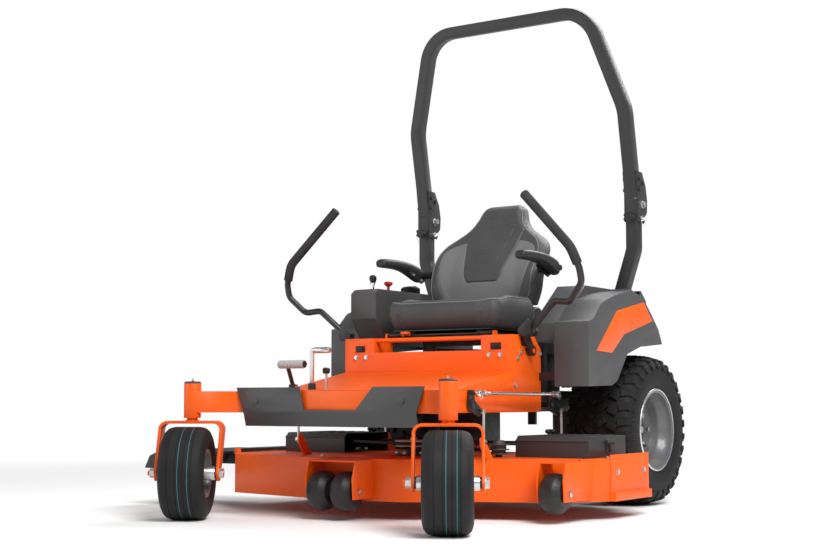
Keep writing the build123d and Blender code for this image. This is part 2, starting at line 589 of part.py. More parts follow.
# ================================================================ fenders
skirt = [(FENDER_FRONT_Y, FENDER_LOW_Z), (-398, 482), (-349, 502), (-257, 606), (-130, 639), (87, 656),
         (52, 714),
         (-19, 775), (-100, 839), (-204, 862), (-318, 843), (-427, 815), (-491, 792), (-560, 730),
         (FENDER_FRONT_Y, 721)]
badge = [(-535, 611), (-398, 606), (-287, 681), (-7, 747), (-95, 821), (-348, 773)]
inner_low_z = POST_FOOT_Z
inner_left = [(-540, inner_low_z), (-540, 720), (-330, FENDER_INNER_TOP_Z), (60, FENDER_INNER_TOP_Z),
              (110, 840),
              (110, inner_low_z)]
POST_SLOT_X = 412.0
shoulder = [(FENDER_SHOULDER_Y, inner_low_z), (FENDER_SHOULDER_Y + 60, FENDER_INNER_TOP_Z)] + inner_left[3:]
inner_right = [(-560, inner_low_z), (CONSOLE_FRONT_Y + 30, 715), (CONSOLE_FRONT_Y, 760),
               (CONSOLE_FRONT_Y, 862),
               (CONSOLE_FRONT_Y + 25, FENDER_INNER_TOP_Z)] + inner_left[3:]


def fender_shell(inner, controls):
    """Build one fender as a thin shell that is open underneath and toward the wheel."""
    with BuildPart() as shell:
        across(skirt, (FENDER_STEP_X, FENDER_OUT_X))
        across(inner, (FENDER_IN_X, FENDER_STEP_X))
        across(shoulder, (FENDER_IN_X, FENDER_SHOULDER_X))
        for drop in (0, 12, 24):
            across([(y, z - drop) for y, z in skirt], (FENDER_STEP_X - 15, FENDER_OUT_X - FENDER_WALL),
                   mode=Mode.SUBTRACT, shrink=FENDER_WALL)
            for outline, outer_x in ((inner, FENDER_STEP_X), (shoulder, FENDER_SHOULDER_X)):
                across([(y, z - drop) for y, z in outline],
                       (FENDER_IN_X + FENDER_WALL, outer_x - FENDER_WALL),
                       mode=Mode.SUBTRACT, shrink=FENDER_WALL)
        # The roll bar post passes through a pocket that is open above.
        block((POST_SLOT_X, FENDER_SHOULDER_X), (ROPS_POST_Y - 40, ROPS_POST_Y + 40), (690, 900),
              mode=Mode.SUBTRACT)
        across(badge, (FENDER_OUT_X - 3, FENDER_OUT_X), mode=Mode.SUBTRACT)
        if controls:
            rod((CAP_X, CAP_Y, FENDER_INNER_TOP_Z), (CAP_X, CAP_Y, FENDER_INNER_TOP_Z + 8), CAP_R - 8)
            under_top = FENDER_INNER_TOP_Z - FENDER_WALL
            for hole_y, hole_r in ((PTO_Y, PTO_STEM_R), (KEY_Y, KEY_STEM_R)):
                rod((PTO_X, hole_y, under_top), (PTO_X, hole_y, FENDER_INNER_TOP_Z), hole_r + PIN_GAP,
                    mode=Mode.SUBTRACT)
            block((THROTTLE_X - 3.5, THROTTLE_X + 3.5), (THROTTLE_Y - 24, THROTTLE_Y + 24),
                  (under_top, FENDER_INNER_TOP_Z), mode=Mode.SUBTRACT)
            block((THROTTLE_X + 4, THROTTLE_X + 14), (THROTTLE_Y - 10, THROTTLE_Y + 10),
                  (under_top - 44, under_top))
            rod((THROTTLE_X - 3, THROTTLE_Y, THROTTLE_PIVOT_Z),
                (THROTTLE_X + 4, THROTTLE_Y, THROTTLE_PIVOT_Z),
                THROTTLE_PIN_R)
    return shell


fender_left = fender_shell(inner_left, controls=False)
save(fender_left, "fender_left")
fender_right = fender_shell(inner_right, controls=True)
save(fender_right, "fender_right", mirrored=True)

with BuildPart() as fender_badges:
    for side in (-1, 1):
        across(badge, sorted((side * (FENDER_OUT_X - 3), side * (FENDER_OUT_X + 1))), shrink=0.5)
save((bumper_panel, fender_badges), "colour_panels")

# ================================================================ roll bar
half_tube = ROPS_TUBE / 2
lean = radians(ROPS_LEAN)
post_half = half_tube - RUN_GAP
post_plane = Plane(origin=(0, ROPS_POST_Y, 0), x_dir=(1, 0, 0), z_dir=(0, -1, 0))
with BuildPart() as rops_posts:
    slope = (ROPS_X - POST_FOOT_X) / (POST_BEND_Z - POST_FOOT_Z)
    for side in (-1, 1):
        square_tube([(side * (POST_FOOT_X - 20 * slope), POST_FOOT_Z - 20), (side * ROPS_X, POST_BEND_Z),
                     (side * ROPS_X, POST_TOP_Z)], [90], post_plane, 2 * post_half, ROPS_WALL)
        block(sorted((side * (POST_FOOT_X - 40), side * (POST_FOOT_X + 38))),
              (ROPS_POST_Y - 30, ROPS_POST_Y + 30),
              (POST_FOOT_Z - 60, POST_FOOT_Z), mode=Mode.SUBTRACT)
        across([(30, 1226), (48, 1226), (48, 1252), (30, 1252)],
               sorted((side * (ROPS_X - post_half), side * (ROPS_X + post_half))))
        rod((side * (ROPS_X - post_half), ROPS_PIVOT_Y, ROPS_PIVOT_Z),
            (side * (ROPS_X + post_half), ROPS_PIVOT_Y, ROPS_PIVOT_Z), PIVOT_BOLT_R + PIN_GAP,
            mode=Mode.SUBTRACT)
        rod((side * (ROPS_X - 30), ROPS_POST_Y, ROPS_PIN_Z), (side * (ROPS_X + 30), ROPS_POST_Y, ROPS_PIN_Z),
            LOCK_PIN_R + PIN_GAP, mode=Mode.SUBTRACT)
save(rops_posts, "rops_posts")

hoop_low_z = POST_TOP_Z + 6
hoop_rise = HOOP_TOP_Z - hoop_low_z
knee = (HOOP_KNEE_Z - hoop_low_z) / cos(lean)
top = hoop_rise / cos(lean)
hoop_plane = Plane(origin=(0, ROPS_POST_Y, hoop_low_z), x_dir=(1, 0, 0), z_dir=(0, -cos(lean), -sin(lean)))
plate_outline = [(ROPS_POST_Y - half_tube, ROPS_PLATE_LOW_Z + 6), (ROPS_POST_Y - half_tube, 1290),
                 (-28, ROPS_PLATE_TOP_Z), (30, ROPS_PLATE_TOP_Z), (66, 1320), (80, 1260), (76, 1210),
                 (48, ROPS_PLATE_LOW_Z)]
with BuildPart() as rops_hoop:
    square_tube([(-ROPS_X, 0), (-ROPS_X, knee), (-HOOP_SHOULDER_X, top), (HOOP_SHOULDER_X, top),
                 (ROPS_X, knee), (ROPS_X, 0)], [200, HOOP_CORNER_R, HOOP_CORNER_R, 200],
                hoop_plane, ROPS_TUBE, ROPS_WALL)
    for side in (-1, 1):
        for face_x in (ROPS_X + half_tube, ROPS_X - half_tube - ROPS_PLATE):
            across(plate_outline, sorted((side * face_x, side * (face_x + ROPS_PLATE))))
        reach = half_tube + ROPS_PLATE
        rod((side * (ROPS_X - reach), ROPS_PIVOT_Y, ROPS_PIVOT_Z),
            (side * (ROPS_X + reach), ROPS_PIVOT_Y, ROPS_PIVOT_Z),
            PIVOT_BOLT_R + PIN_GAP, mode=Mode.SUBTRACT)
        # The lock pins sit in hooks that open to the rear, on an arc about the fold's pivot.
        slot_r = hypot(ROPS_POST_Y - ROPS_PIVOT_Y, ROPS_PIN_Z - ROPS_PIVOT_Z)
        slot_start = degrees(atan2(ROPS_PIN_Z - ROPS_PIVOT_Z, ROPS_POST_Y - ROPS_PIVOT_Y))
        hook_half = LOCK_PIN_R + RUN_GAP
        for plate_x in (side * ROPS_X - reach, side * ROPS_X + half_tube):
            with BuildSketch(Plane.YZ.offset(plate_x - 1)) as hook:
                with BuildLine():
                    far, near = (
                        CenterArc((ROPS_PIVOT_Y, ROPS_PIVOT_Z), slot_r + reach_r, slot_start, 75)
                        for reach_r in (hook_half, -hook_half)
                    )
                    Line(far @ 0, near @ 0)
                    Line(far @ 1, near @ 1)
                make_face()
                with Locations((ROPS_POST_Y, ROPS_PIN_Z)):
                    Circle(hook_half)
            extrude(hook.sketch, amount=ROPS_PLATE + 2, mode=Mode.SUBTRACT)
save(rops_hoop, "rops_hoop")

with BuildPart() as rops_pivot_bolts:
    for side in (-1, 1):
        inner = (side * (ROPS_X - half_tube - ROPS_PLATE - RUN_GAP), ROPS_PIVOT_Y, ROPS_PIVOT_Z)
        outer = (side * (ROPS_X + half_tube + ROPS_PLATE + RUN_GAP), ROPS_PIVOT_Y, ROPS_PIVOT_Z)
        rod(inner, outer, PIVOT_BOLT_R)
        hex_head(outer, (side, 0, 0), 24, 10)
        hex_head(inner, (-side, 0, 0), 24, 13)

with BuildPart() as rops_lock_pin:
    head_x = ROPS_X + half_tube + ROPS_PLATE + RUN_GAP
    rod((ROPS_X - half_tube - ROPS_PLATE - 14, ROPS_POST_Y, ROPS_PIN_Z), (head_x, ROPS_POST_Y, ROPS_PIN_Z),
        LOCK_PIN_R)
    rod((head_x, ROPS_POST_Y, ROPS_PIN_Z), (head_x + 8, ROPS_POST_Y, ROPS_PIN_Z), 10)
save(rops_lock_pin, "rops_lock_pin_left")
save(rops_lock_pin, "rops_lock_pin_right", mirrored=True)

# ================================================================ steering levers
ear_in, ear_out = 13.7, 20.0
with BuildPart() as lever_bracket:
    boss_x = (RAIL_OUT_X + RUN_GAP, RAIL_OUT_X + 25)
    rod((boss_x[0], LEVER_BASE_Y, LEVER_BASE_Z), (boss_x[1], LEVER_BASE_Y, LEVER_BASE_Z), 19)
    web = [(LEVER_PIVOT_Y - ear_out, LEVER_PIVOT_Z + 14), (LEVER_PIVOT_Y - ear_out, LEVER_PIVOT_Z - 20),
           (LEVER_BASE_Y - 18, LEVER_BASE_Z - 6), (LEVER_BASE_Y + 16, LEVER_BASE_Z - 6),
           (LEVER_PIVOT_Y + ear_out, LEVER_PIVOT_Z - 12), (LEVER_PIVOT_Y + ear_out, LEVER_PIVOT_Z + 14)]
    across(web, (boss_x[0] + 14, boss_x[1]))
    ear = [(boss_x[1], LEVER_PIVOT_Z - 20), (LEVER_PIVOT_X + 6, LEVER_PIVOT_Z - 16),
           (LEVER_PIVOT_X + 14, LEVER_PIVOT_Z),
           (LEVER_PIVOT_X + 6, LEVER_PIVOT_Z + 14), (boss_x[1] - 10, LEVER_PIVOT_Z + 14)]
    for side in (-1, 1):
        along(ear, sorted((LEVER_PIVOT_Y + side * ear_in, LEVER_PIVOT_Y + side * ear_out)))
    wedge = [(boss_x[0], 672), (boss_x[0] + 20, LEVER_PIVOT_Z - 18), (LEVER_PIVOT_X + 8, LEVER_PIVOT_Z - 10),
             (LEVER_PIVOT_X + 6, LEVER_PIVOT_Z + 20), (LEVER_PIVOT_X - 4, LEVER_PIVOT_Z + 50),
             (boss_x[0], 690)]
    along(wedge, (LEVER_PIVOT_Y - 30, LEVER_PIVOT_Y - 25))
    block((LEVER_PIVOT_X - 16, LEVER_PIVOT_X + 4), (LEVER_PIVOT_Y - 25, LEVER_PIVOT_Y - ear_out),
          (LEVER_PIVOT_Z - 8, LEVER_PIVOT_Z + 8))
    rod((boss_x[0], LEVER_BASE_Y, LEVER_BASE_Z), (boss_x[1], LEVER_BASE_Y, LEVER_BASE_Z),
        LEVER_STUD_R + PIN_GAP, mode=Mode.SUBTRACT)
    rod((LEVER_PIVOT_X, LEVER_PIVOT_Y - ear_out, LEVER_PIVOT_Z),
        (LEVER_PIVOT_X, LEVER_PIVOT_Y + ear_out, LEVER_PIVOT_Z),
        LEVER_PIN_R)

with BuildPart() as lever_tube:
    bent_tube(LEVER_ROUTE, LEVER_BENDS, LEVER_TUBE_R)
    knuckle = [(LEVER_PIVOT_X, LEVER_PIVOT_Y + side * (ear_in - RUN_GAP), LEVER_PIVOT_Z) for side in (-1, 1)]
    rod(*knuckle, 13)
    rod((LEVER_PIVOT_X, LEVER_PIVOT_Y, LEVER_PIVOT_Z), LEVER_ROUTE[0], LEVER_TUBE_R)
    rod(*knuckle, LEVER_PIN_R + PIN_GAP, mode=Mode.SUBTRACT)

grip_low, grip_bend, grip_top = (Vector(*point) for point in LEVER_ROUTE[-3:])
with BuildPart() as lever_grip:
    grip_route = [grip_low + (grip_bend - grip_low) * 0.2, grip_bend, grip_top]
    with BuildLine() as grip_path:
        FilletPolyline(*grip_route, radius=LEVER_BENDS[-1])
    with BuildSketch(Plane(origin=grip_path.line @ 0, z_dir=grip_path.line % 0)) as grip_section:
        Circle(LEVER_GRIP_R)
        Circle(LEVER_TUBE_R + 0.1, mode=Mode.SUBTRACT)
    sweep(grip_section.sketch, grip_path.line)
    cap_axis = (grip_top - grip_bend).normalized()
    rod(tuple(grip_top), tuple(grip_top + cap_axis * 6), LEVER_GRIP_R)

for hand, mirrored in (("left", False), ("right", True)):
    save(lever_bracket, f"lever_bracket_{hand}", mirrored=mirrored)
    save(lever_tube, f"lever_tube_{hand}", mirrored=mirrored)
    save(lever_grip, f"lever_grip_{hand}", mirrored=mirrored)

# ================================================================ seat
PLATE_SHEET = 6.0
plate_z = SEAT_HINGE_Z - PLATE_SHEET / 2
runner_top_z = CUSHION_LOW_Z - PLATE_SHEET - RUN_GAP
with BuildPart() as seat_plate:
    block((-230, 230), (SEAT_HINGE_Y, REST_BAR_Y[1] + 6), (plate_z, plate_z + PLATE_SHEET))
    for side in (-1, 1):
        barrel = [(side * x, SEAT_HINGE_Y, SEAT_HINGE_Z) for x in (178, TOWER_BOX_X - RUN_GAP)]
        rod(*barrel, 9)
        rod((side * 170, SEAT_HINGE_Y, SEAT_HINGE_Z), barrel[1], SEAT_HINGE_R + PIN_GAP, mode=Mode.SUBTRACT)
        block(sorted((side * 140, side * 168)), (-650, REST_BAR_Y[1]), (plate_z + PLATE_SHEET, runner_top_z))
save(seat_plate, "seat_plate")

back_front = [(-392, 808), (-392, 960), (-300, 1070), (-235, 1170), (-190, 1254)]
back_rear = [(-300, 808), (-300, 960), (-215, 1070), (-165, 1170), (-145, 1254)]
shell_gap = 0.5
with BuildPart() as seat_frame:
    block((-225, 225), (SEAT_FRONT_Y + 16, back_rear[0][0] + shell_gap + 6),
          (runner_top_z + RUN_GAP, CUSHION_LOW_Z))
    shell_front = [(y + shell_gap, z) for y, z in back_rear[:3]]
    shell_front[0] = (shell_front[0][0], runner_top_z + RUN_GAP)
    across(shell_front + [(y + 6, z) for y, z in reversed(shell_front)], (-200, 200))
save(seat_frame, "seat_frame")

with BuildPart() as seat_cushion:
    block((-SEAT_HALF + 18, SEAT_HALF - 18), (SEAT_FRONT_Y + 10, SEAT_BACK_Y), (CUSHION_LOW_Z, 730))
    block((-SEAT_HALF, SEAT_HALF), (SEAT_FRONT_Y, SEAT_BACK_Y), (730, CUSHION_TOP_Z), corner=30)
save(seat_cushion, "seat_cushion")

with BuildPart() as seat_back:
    across(back_front + list(reversed(back_rear)), (-SEAT_HALF - 12, SEAT_HALF + 12))
    along([(-225, 808), (-257, 850), (-257, 975), (-265, 1060), (-129, 1170), (-82, 1254), (82, 1254),
           (129, 1170),
           (265, 1060), (257, 975), (257, 850), (225, 808)], (-420, -120), mode=Mode.INTERSECT)
save(seat_back, "seat_back")

with BuildPart() as armrest:
    across([(-636, 968), (-650, 985), (-636, 1001), (-590, 1010), (-480, 1010), (-352, 994), (-322, 976),
            (-316, 940),
            (-345, 920), (-400, 932), (-500, 968)], (ARM_X - ARM_W / 2, ARM_X + ARM_W / 2))
    rod((257 + RUN_GAP, ARM_PIVOT_Y, ARM_PIVOT_Z), (ARM_X - ARM_W / 2, ARM_PIVOT_Y, ARM_PIVOT_Z), 16)
save(armrest, "armrest_left")
save(armrest, "armrest_right", mirrored=True)

# ================================================================ operator controls
console_z = FENDER_INNER_TOP_Z
with BuildPart() as throttle_lever:
    arm_x = (THROTTLE_X - 2, THROTTLE_X + 2)
    block(arm_x, (THROTTLE_Y - 6, THROTTLE_Y + 6), (THROTTLE_PIVOT_Z - 10, console_z + 26))
    rod((THROTTLE_X, THROTTLE_Y, console_z + 22), (THROTTLE_X, THROTTLE_Y, console_z + 54), 12)
    rod((arm_x[0], THROTTLE_Y, THROTTLE_PIVOT_Z), (arm_x[1], THROTTLE_Y, THROTTLE_PIVOT_Z),
        THROTTLE_PIN_R + PIN_GAP, mode=Mode.SUBTRACT)
save(throttle_lever, "throttle_lever", mirrored=True)

with BuildPart() as pto_knob:
    rod((PTO_X, PTO_Y, console_z - 30), (PTO_X, PTO_Y, console_z + 32), PTO_STEM_R)
    turned([(0, 0), (0, 12), (14, 17), (20, 17), (20, 0)], (PTO_X, PTO_Y, console_z + 22), (0, 0, 1))
save(pto_knob, "pto_knob", mirrored=True)

with BuildPart() as ignition_key:
    rod((PTO_X, KEY_Y, console_z - 20), (PTO_X, KEY_Y, console_z + 10), KEY_STEM_R)
    block((PTO_X - 12, PTO_X + 12), (KEY_Y - 1.5, KEY_Y + 1.5), (console_z + 10, console_z + 28))
save(ignition_key, "ignition_key", mirrored=True)

with BuildPart() as fuel_cap:
    cap_low = FENDER_INNER_TOP_Z + RUN_GAP
    turned([(0, CAP_R), (32, CAP_R), (38, CAP_R - 6), (38, 0), (9, 0), (9, CAP_R - 7.7), (0, CAP_R - 7.7)],
           (CAP_X, CAP_Y, cap_low), (0, 0, 1))
save(fuel_cap, "fuel_cap", mirrored=True)

PEDAL_X = -250.0
PEDAL_Y = -1300.0
PEDAL_Z = 474.0
with BuildPart() as lift_pedal:
    rod((PEDAL_X - 5.7, PEDAL_Y, PEDAL_Z), (PEDAL_X + 5.7, PEDAL_Y, PEDAL_Z), 11)
    across([(PEDAL_Y - 8, PEDAL_Z), (PEDAL_Y - 42, 550), (PEDAL_Y - 30, 556), (PEDAL_Y + 8, PEDAL_Z)],
           (PEDAL_X - 4, PEDAL_X + 4))
    rod((PEDAL_X - 38, PEDAL_Y - 36, 554), (PEDAL_X + 82, PEDAL_Y - 36, 554), 11)
    rod((PEDAL_X - 5.7, PEDAL_Y, PEDAL_Z), (PEDAL_X + 5.7, PEDAL_Y, PEDAL_Z), 5 + PIN_GAP, mode=Mode.SUBTRACT)
save(lift_pedal, "lift_pedal")

HEIGHT_X = -126.0
HEIGHT_Y = -1350.0
floor_z = RAIL_TOP_Z + SHEET
with BuildPart() as height_crank:
    rod((HEIGHT_X, HEIGHT_Y, floor_z + RUN_GAP), (HEIGHT_X, HEIGHT_Y, 602), 8)
    rod((HEIGHT_X, HEIGHT_Y, 602), (HEIGHT_X + 12, HEIGHT_Y, 602), 8)
    rod((HEIGHT_X + 12, HEIGHT_Y, 602), (HEIGHT_X + 78, HEIGHT_Y, 602), 11)
save(height_crank, "height_crank")

# ================================================================ mower deck
deck_plan = [(DECK_LEFT_X, -430), (DECK_LEFT_X, -756), (690, -860), (590, -955), (370, -1040), (225, -1160),
             (150, -1205), (-200, -1215), (-330, -1185), (-690, -1105), (DECK_RIGHT_X, -1010),
             (DECK_RIGHT_X, -430),
             (-560, DECK_REAR_Y), (560, DECK_REAR_Y)]
HOUSING_BODY_R = 42.0
CHUTE_Y = (-1130.0, -640.0)
HINGE_X = DECK_RIGHT_X - 6
HINGE_Z = DECK_TOP_Z + 10
rollers = {"left": (668.0, -1008.0, [0.0]), "centre": (-64.0, -1292.0, [-52.0, 52.0])}
ROLLER_W = 84.0
EAR_X = (402.0, 408.0)
front_pin_y = FRONT_SHAFT_Y + CRANK_ARM_Y
rear_pin_y = REAR_SHAFT_Y + CRANK_ARM_Y
hanger_pin_z = LIFT_SHAFT_Z - CRANK_DROP
with BuildPart() as deck_shell:
    raised(deck_plan, (DECK_LOW_Z, DECK_TOP_Z))
    raised(deck_plan, (DECK_LOW_Z, DECK_TOP_Z - DECK_SHEET), mode=Mode.SUBTRACT, shrink=DECK_SHEET)
    block((DECK_RIGHT_X - 10, DECK_RIGHT_X + 10), (-1000, CHUTE_Y[1]), (DECK_LOW_Z, 200), mode=Mode.SUBTRACT)
    for spindle_x, spindle_y in SPINDLES.values():
        rod((spindle_x, spindle_y, DECK_TOP_Z - DECK_SHEET), (spindle_x, spindle_y, DECK_TOP_Z),
            HOUSING_BODY_R + 1, mode=Mode.SUBTRACT)
    # The left end carries a standing rim above and a wear bar below.
    block((DECK_LEFT_X - DECK_SHEET, DECK_LEFT_X), (-756, -430), (DECK_TOP_Z, DECK_TOP_Z + 14))
    block((DECK_LEFT_X, DECK_LEFT_X + 15), (-750, -436), (DECK_LOW_Z, DECK_LOW_Z + 30))
    for roller_x, roller_y, places in rollers.values():
        half_span = max(places) + ROLLER_W / 2 + 6
        for side in (-1, 1):
            plate_x = sorted((roller_x + side * half_span, roller_x + side * (half_span + 6)))
            inboard = -1200 if roller_y < -1200 else -955 + (plate_x[0] - 590) * 0.95 + 2
            across([(inboard, 76), (inboard, DECK_TOP_Z - 4), (roller_y - 20, DECK_TOP_Z - 4),
                    (roller_y - 40, 150),
                    (roller_y - 34, 76)], plate_x)
            rod((plate_x[0], roller_y, ROLLER_Z), (plate_x[1], roller_y, ROLLER_Z), ROLLER_BOLT_R + PIN_GAP,
                mode=Mode.SUBTRACT)
        block((roller_x - half_span - 6, roller_x + half_span + 6), (roller_y - 20, roller_y + 60),
              (DECK_TOP_Z - 10, DECK_TOP_Z - 4))
    for side in (-1, 1):
        ear_x = sorted((side * EAR_X[0], side * EAR_X[1]))
        across([(-985, DECK_TOP_Z), (-1035, DECK_TOP_Z), (front_pin_y - 10, 262), (front_pin_y - 12, 290),
                (front_pin_y + 10, 298)], ear_x)
        across([(rear_pin_y - 12, DECK_TOP_Z), (rear_pin_y - 12, 290), (rear_pin_y + 12, 290),
                (rear_pin_y + 60, DECK_TOP_Z)],
               ear_x)
    hinge_ends = ((-1000, -990), (CHUTE_Y[1] - 10, CHUTE_Y[1]))
    for hinge_y in hinge_ends:
        block((HINGE_X - 9, DECK_RIGHT_X + 12), hinge_y, (DECK_TOP_Z - DECK_SHEET, HINGE_Z + 8))
    rod((HINGE_X, -1000, HINGE_Z), (HINGE_X, CHUTE_Y[1], HINGE_Z), 4)
save(deck_shell, "deck_shell")

with BuildPart() as deck_hangers:
    for side in (-1, 1):
        for pin_y in (front_pin_y, rear_pin_y):
            hanger_x = side * (EAR_X[1] + HANGER_R)
            rod((hanger_x, pin_y, 262), (hanger_x, pin_y, hanger_pin_z), HANGER_R)
            eye_x = (EAR_X[1] + 1, EAR_X[1] + 2 * HANGER_R - 1)
            rod((side * eye_x[0], pin_y, hanger_pin_z), (side * eye_x[1], pin_y, hanger_pin_z),
                HANGER_PIN_R + 4)
            rod((hanger_x, pin_y, hanger_pin_z), (side * (CRANK_IN_X - 2), pin_y, hanger_pin_z), HANGER_PIN_R)
            hex_head((side * EAR_X[1], pin_y, 276), (side, 0, 0), 17, 14)

COVER = {"x": (390.0, 690.0), "y": (-790.0, -480.0), "z": (DECK_TOP_Z, 294.0)}
with BuildPart() as belt_covers:
    for side in (-1, 1):
        cover_x = sorted((side * COVER["x"][0], side * COVER["x"][1]))
        profile = [(COVER["y"][0], COVER["z"][0]), (COVER["y"][0], COVER["z"][1] - 18),
                   (COVER["y"][0] + 18, COVER["z"][1]), (COVER["y"][1], COVER["z"][1]),
                   (COVER["y"][1], COVER["z"][0])]
        across(profile, cover_x)
        hollow_x = sorted((side * COVER["x"][0], side * (COVER["x"][1] - 3)))
        across(profile, hollow_x, mode=Mode.SUBTRACT, shrink=3)
        across([(y, z - 3) for y, z in profile], hollow_x, mode=Mode.SUBTRACT, shrink=3)
        block(sorted((side * COVER["x"][1], side * (COVER["x"][1] + 8))), (-650, -620), (232, 280))
save(belt_covers, "belt_covers")

with BuildPart() as spindle_housings:
    for spindle_x, spindle_y in SPINDLES.values():
        turned([(-86, DECK_SHAFT_R + PIN_GAP), (-86, 30), (-60, HOUSING_BODY_R), (0, HOUSING_BODY_R),
                (0, 75), (8, 75),
                (8, 36), (28, 30), (28, DECK_SHAFT_R + PIN_GAP)], (spindle_x, spindle_y, DECK_TOP_Z),
                (0, 0, 1))
    idler = [(0, 0), (0, 12), (10, 12), (10, 38), (14, 38), (14, 26), (26, 26), (26, 40), (30, 40),
             (30, 28), (44, 28),
             (44, 40), (48, 40), (48, 24), (62, 20), (62, 0)]
    turned(idler, (345, -835, DECK_TOP_Z), (0, 0, 1))
save(spindle_housings, "spindle_housings")

for hand, (spindle_x, spindle_y) in SPINDLES.items():
    with BuildPart() as spindle:
        groove_r = PULLEY_R - 10.5
        turned([(-165, 0), (-165, DECK_SHAFT_R), (-12, DECK_SHAFT_R), (-12, PULLEY_R), (-7, PULLEY_R),
                (-7, groove_r),
                (7, groove_r), (7, PULLEY_R), (12, PULLEY_R), (12, DECK_SHAFT_R), (22, DECK_SHAFT_R),
                (22, 0)],
               (spindle_x, spindle_y, PULLEY_Z), (0, 0, 1))
    with BuildPart() as blade:
        block((spindle_x - BLADE_R, spindle_x + BLADE_R), (spindle_y - 32, spindle_y + 32),
              (BLADE_Z - 3, BLADE_Z + 3))
        rod((spindle_x, spindle_y, BLADE_Z - 3), (spindle_x, spindle_y, BLADE_Z + 3), DECK_SHAFT_R + PIN_GAP,
            mode=Mode.SUBTRACT)
        hex_head((spindle_x, spindle_y, PULLEY_Z - 165), (0, 0, -1), 32, 14)
        rod((spindle_x, spindle_y, BLADE_Z + 3), (spindle_x, spindle_y, BLADE_Z + 10), 26)
        rod((spindle_x, spindle_y, BLADE_Z + 3), (spindle_x, spindle_y, BLADE_Z + 10), DECK_SHAFT_R + PIN_GAP,
            mode=Mode.SUBTRACT)
    save((spindle, blade), f"blade_{hand}")

with BuildPart() as deck_belt:
    with BuildSketch(Plane.XY.offset(PULLEY_Z - 5)) as loop:
        with BuildLine():
            Polyline(*SPINDLES.values(), close=True)
        make_face()
        inner_loop = offset(loop.sketch, amount=PULLEY_R - 10, mode=Mode.PRIVATE)
        offset(amount=PULLEY_R - 2, mode=Mode.REPLACE)
        add(inner_loop, mode=Mode.SUBTRACT)
    extrude(amount=10)
save(deck_belt, "deck_belt")

for hand, (roller_x, roller_y, places) in rollers.items():
    with BuildPart() as roller:
        for place in places:
            half = ROLLER_W / 2
            turned([(-half, ROLLER_BOLT_R + PIN_GAP), (-half, ROLLER_R - 22), (-half + 20, ROLLER_R - 3),
                    (0, ROLLER_R),
                    (half - 20, ROLLER_R - 3), (half, ROLLER_R - 22), (half, ROLLER_BOLT_R + PIN_GAP)],
                   (roller_x + place, roller_y, ROLLER_Z), (1, 0, 0))
    save(roller, f"roller_{hand}")

with BuildPart() as roller_bolts:
    for roller_x, roller_y, places in rollers.values():
        reach = max(places) + ROLLER_W / 2 + 12
        ends = [(roller_x + side * reach, roller_y, ROLLER_Z) for side in (-1, 1)]
        rod(*ends, ROLLER_BOLT_R)
        hex_head(ends[0], (-1, 0, 0), 19, 10)
        hex_head(ends[1], (1, 0, 0), 19, 8)
save((deck_hangers, roller_bolts), "deck_hardware")

with BuildPart() as discharge_chute:
    root_x = HINGE_X - 12
    skin = [(root_x, HINGE_Z - 4), (-1070, HINGE_Z - 4), (-1125, 200), (CHUTE_END_X, 150),
            (CHUTE_END_X + 6, 150),
            (-1120, 194), (-1068, HINGE_Z - 10), (root_x, HINGE_Z - 10)]
    along(skin, CHUTE_Y)
    cheek_plate = [(root_x, HINGE_Z - 10), (-1068, HINGE_Z - 10), (-1120, 194), (-1144, 150),
                   (root_x - 100, 150),
                   (root_x, 190)]
    for cheek_y in ((CHUTE_Y[0], CHUTE_Y[0] + 6), (CHUTE_Y[1] - 6, CHUTE_Y[1])):
        along(cheek_plate, cheek_y)
    barrel_y = (hinge_ends[0][1] + RUN_GAP, hinge_ends[1][0] - RUN_GAP)
    block((root_x, HINGE_X), barrel_y, (HINGE_Z - 7, HINGE_Z - 4))
    rod((HINGE_X, barrel_y[0], HINGE_Z), (HINGE_X, barrel_y[1], HINGE_Z), 8)
    rod((HINGE_X, barrel_y[0], HINGE_Z), (HINGE_X, barrel_y[1], HINGE_Z), 4 + PIN_GAP, mode=Mode.SUBTRACT)
save(discharge_chute, "discharge_chute")

# ================================================================ deck lift
crank_shape = [(-22, -12), (-15, 52), (15, 52), (22, 12), (66, -14), (72, -34), (50, -42), (0, -26)]


def lift_cranks(shaft_y):
    """Build one cross shaft with a bell crank on each end."""
    with BuildPart() as cranks:
        rod((-CRANK_IN_X, shaft_y, LIFT_SHAFT_Z), (CRANK_IN_X, shaft_y, LIFT_SHAFT_Z), LIFT_SHAFT_R)
        for side in (-1, 1):
            crank_x = sorted((side * CRANK_IN_X, side * (CRANK_IN_X + CRANK_SHEET)))
            across([(shaft_y + y, LIFT_SHAFT_Z + z) for y, z in crank_shape], crank_x)
            rod((side * CRANK_IN_X, shaft_y, LIFT_SHAFT_Z + CRANK_ROD_RISE),
                (side * (LIFT_ROD_X + 8), shaft_y, LIFT_SHAFT_Z + CRANK_ROD_RISE), CRANK_PIN_R)
            rod((side * CRANK_IN_X, shaft_y, LIFT_SHAFT_Z),
                (side * (CRANK_IN_X + 18), shaft_y, LIFT_SHAFT_Z), 15)
            with BuildSketch(Plane.YZ.offset(crank_x[0])) as slot:
                slot_centre = (shaft_y + CRANK_ARM_Y * 0.98, LIFT_SHAFT_Z - CRANK_DROP * 0.98, 0)
                slot_fall = degrees(atan2(CRANK_DROP, CRANK_ARM_Y))
                with Locations(Location(slot_centre, (0, 0, -slot_fall))):
                    SlotOverall(2 * (HANGER_PIN_R + SLOT_PLAY) + 10, 2 * (HANGER_PIN_R + SLOT_PLAY))
            extrude(slot.sketch, amount=CRANK_SHEET, mode=Mode.SUBTRACT)
    return cranks


front_lift_cranks = lift_cranks(FRONT_SHAFT_Y)
save(front_lift_cranks, "front_lift_cranks")
rear_lift_cranks = lift_cranks(REAR_SHAFT_Y)
save(rear_lift_cranks, "rear_lift_cranks")

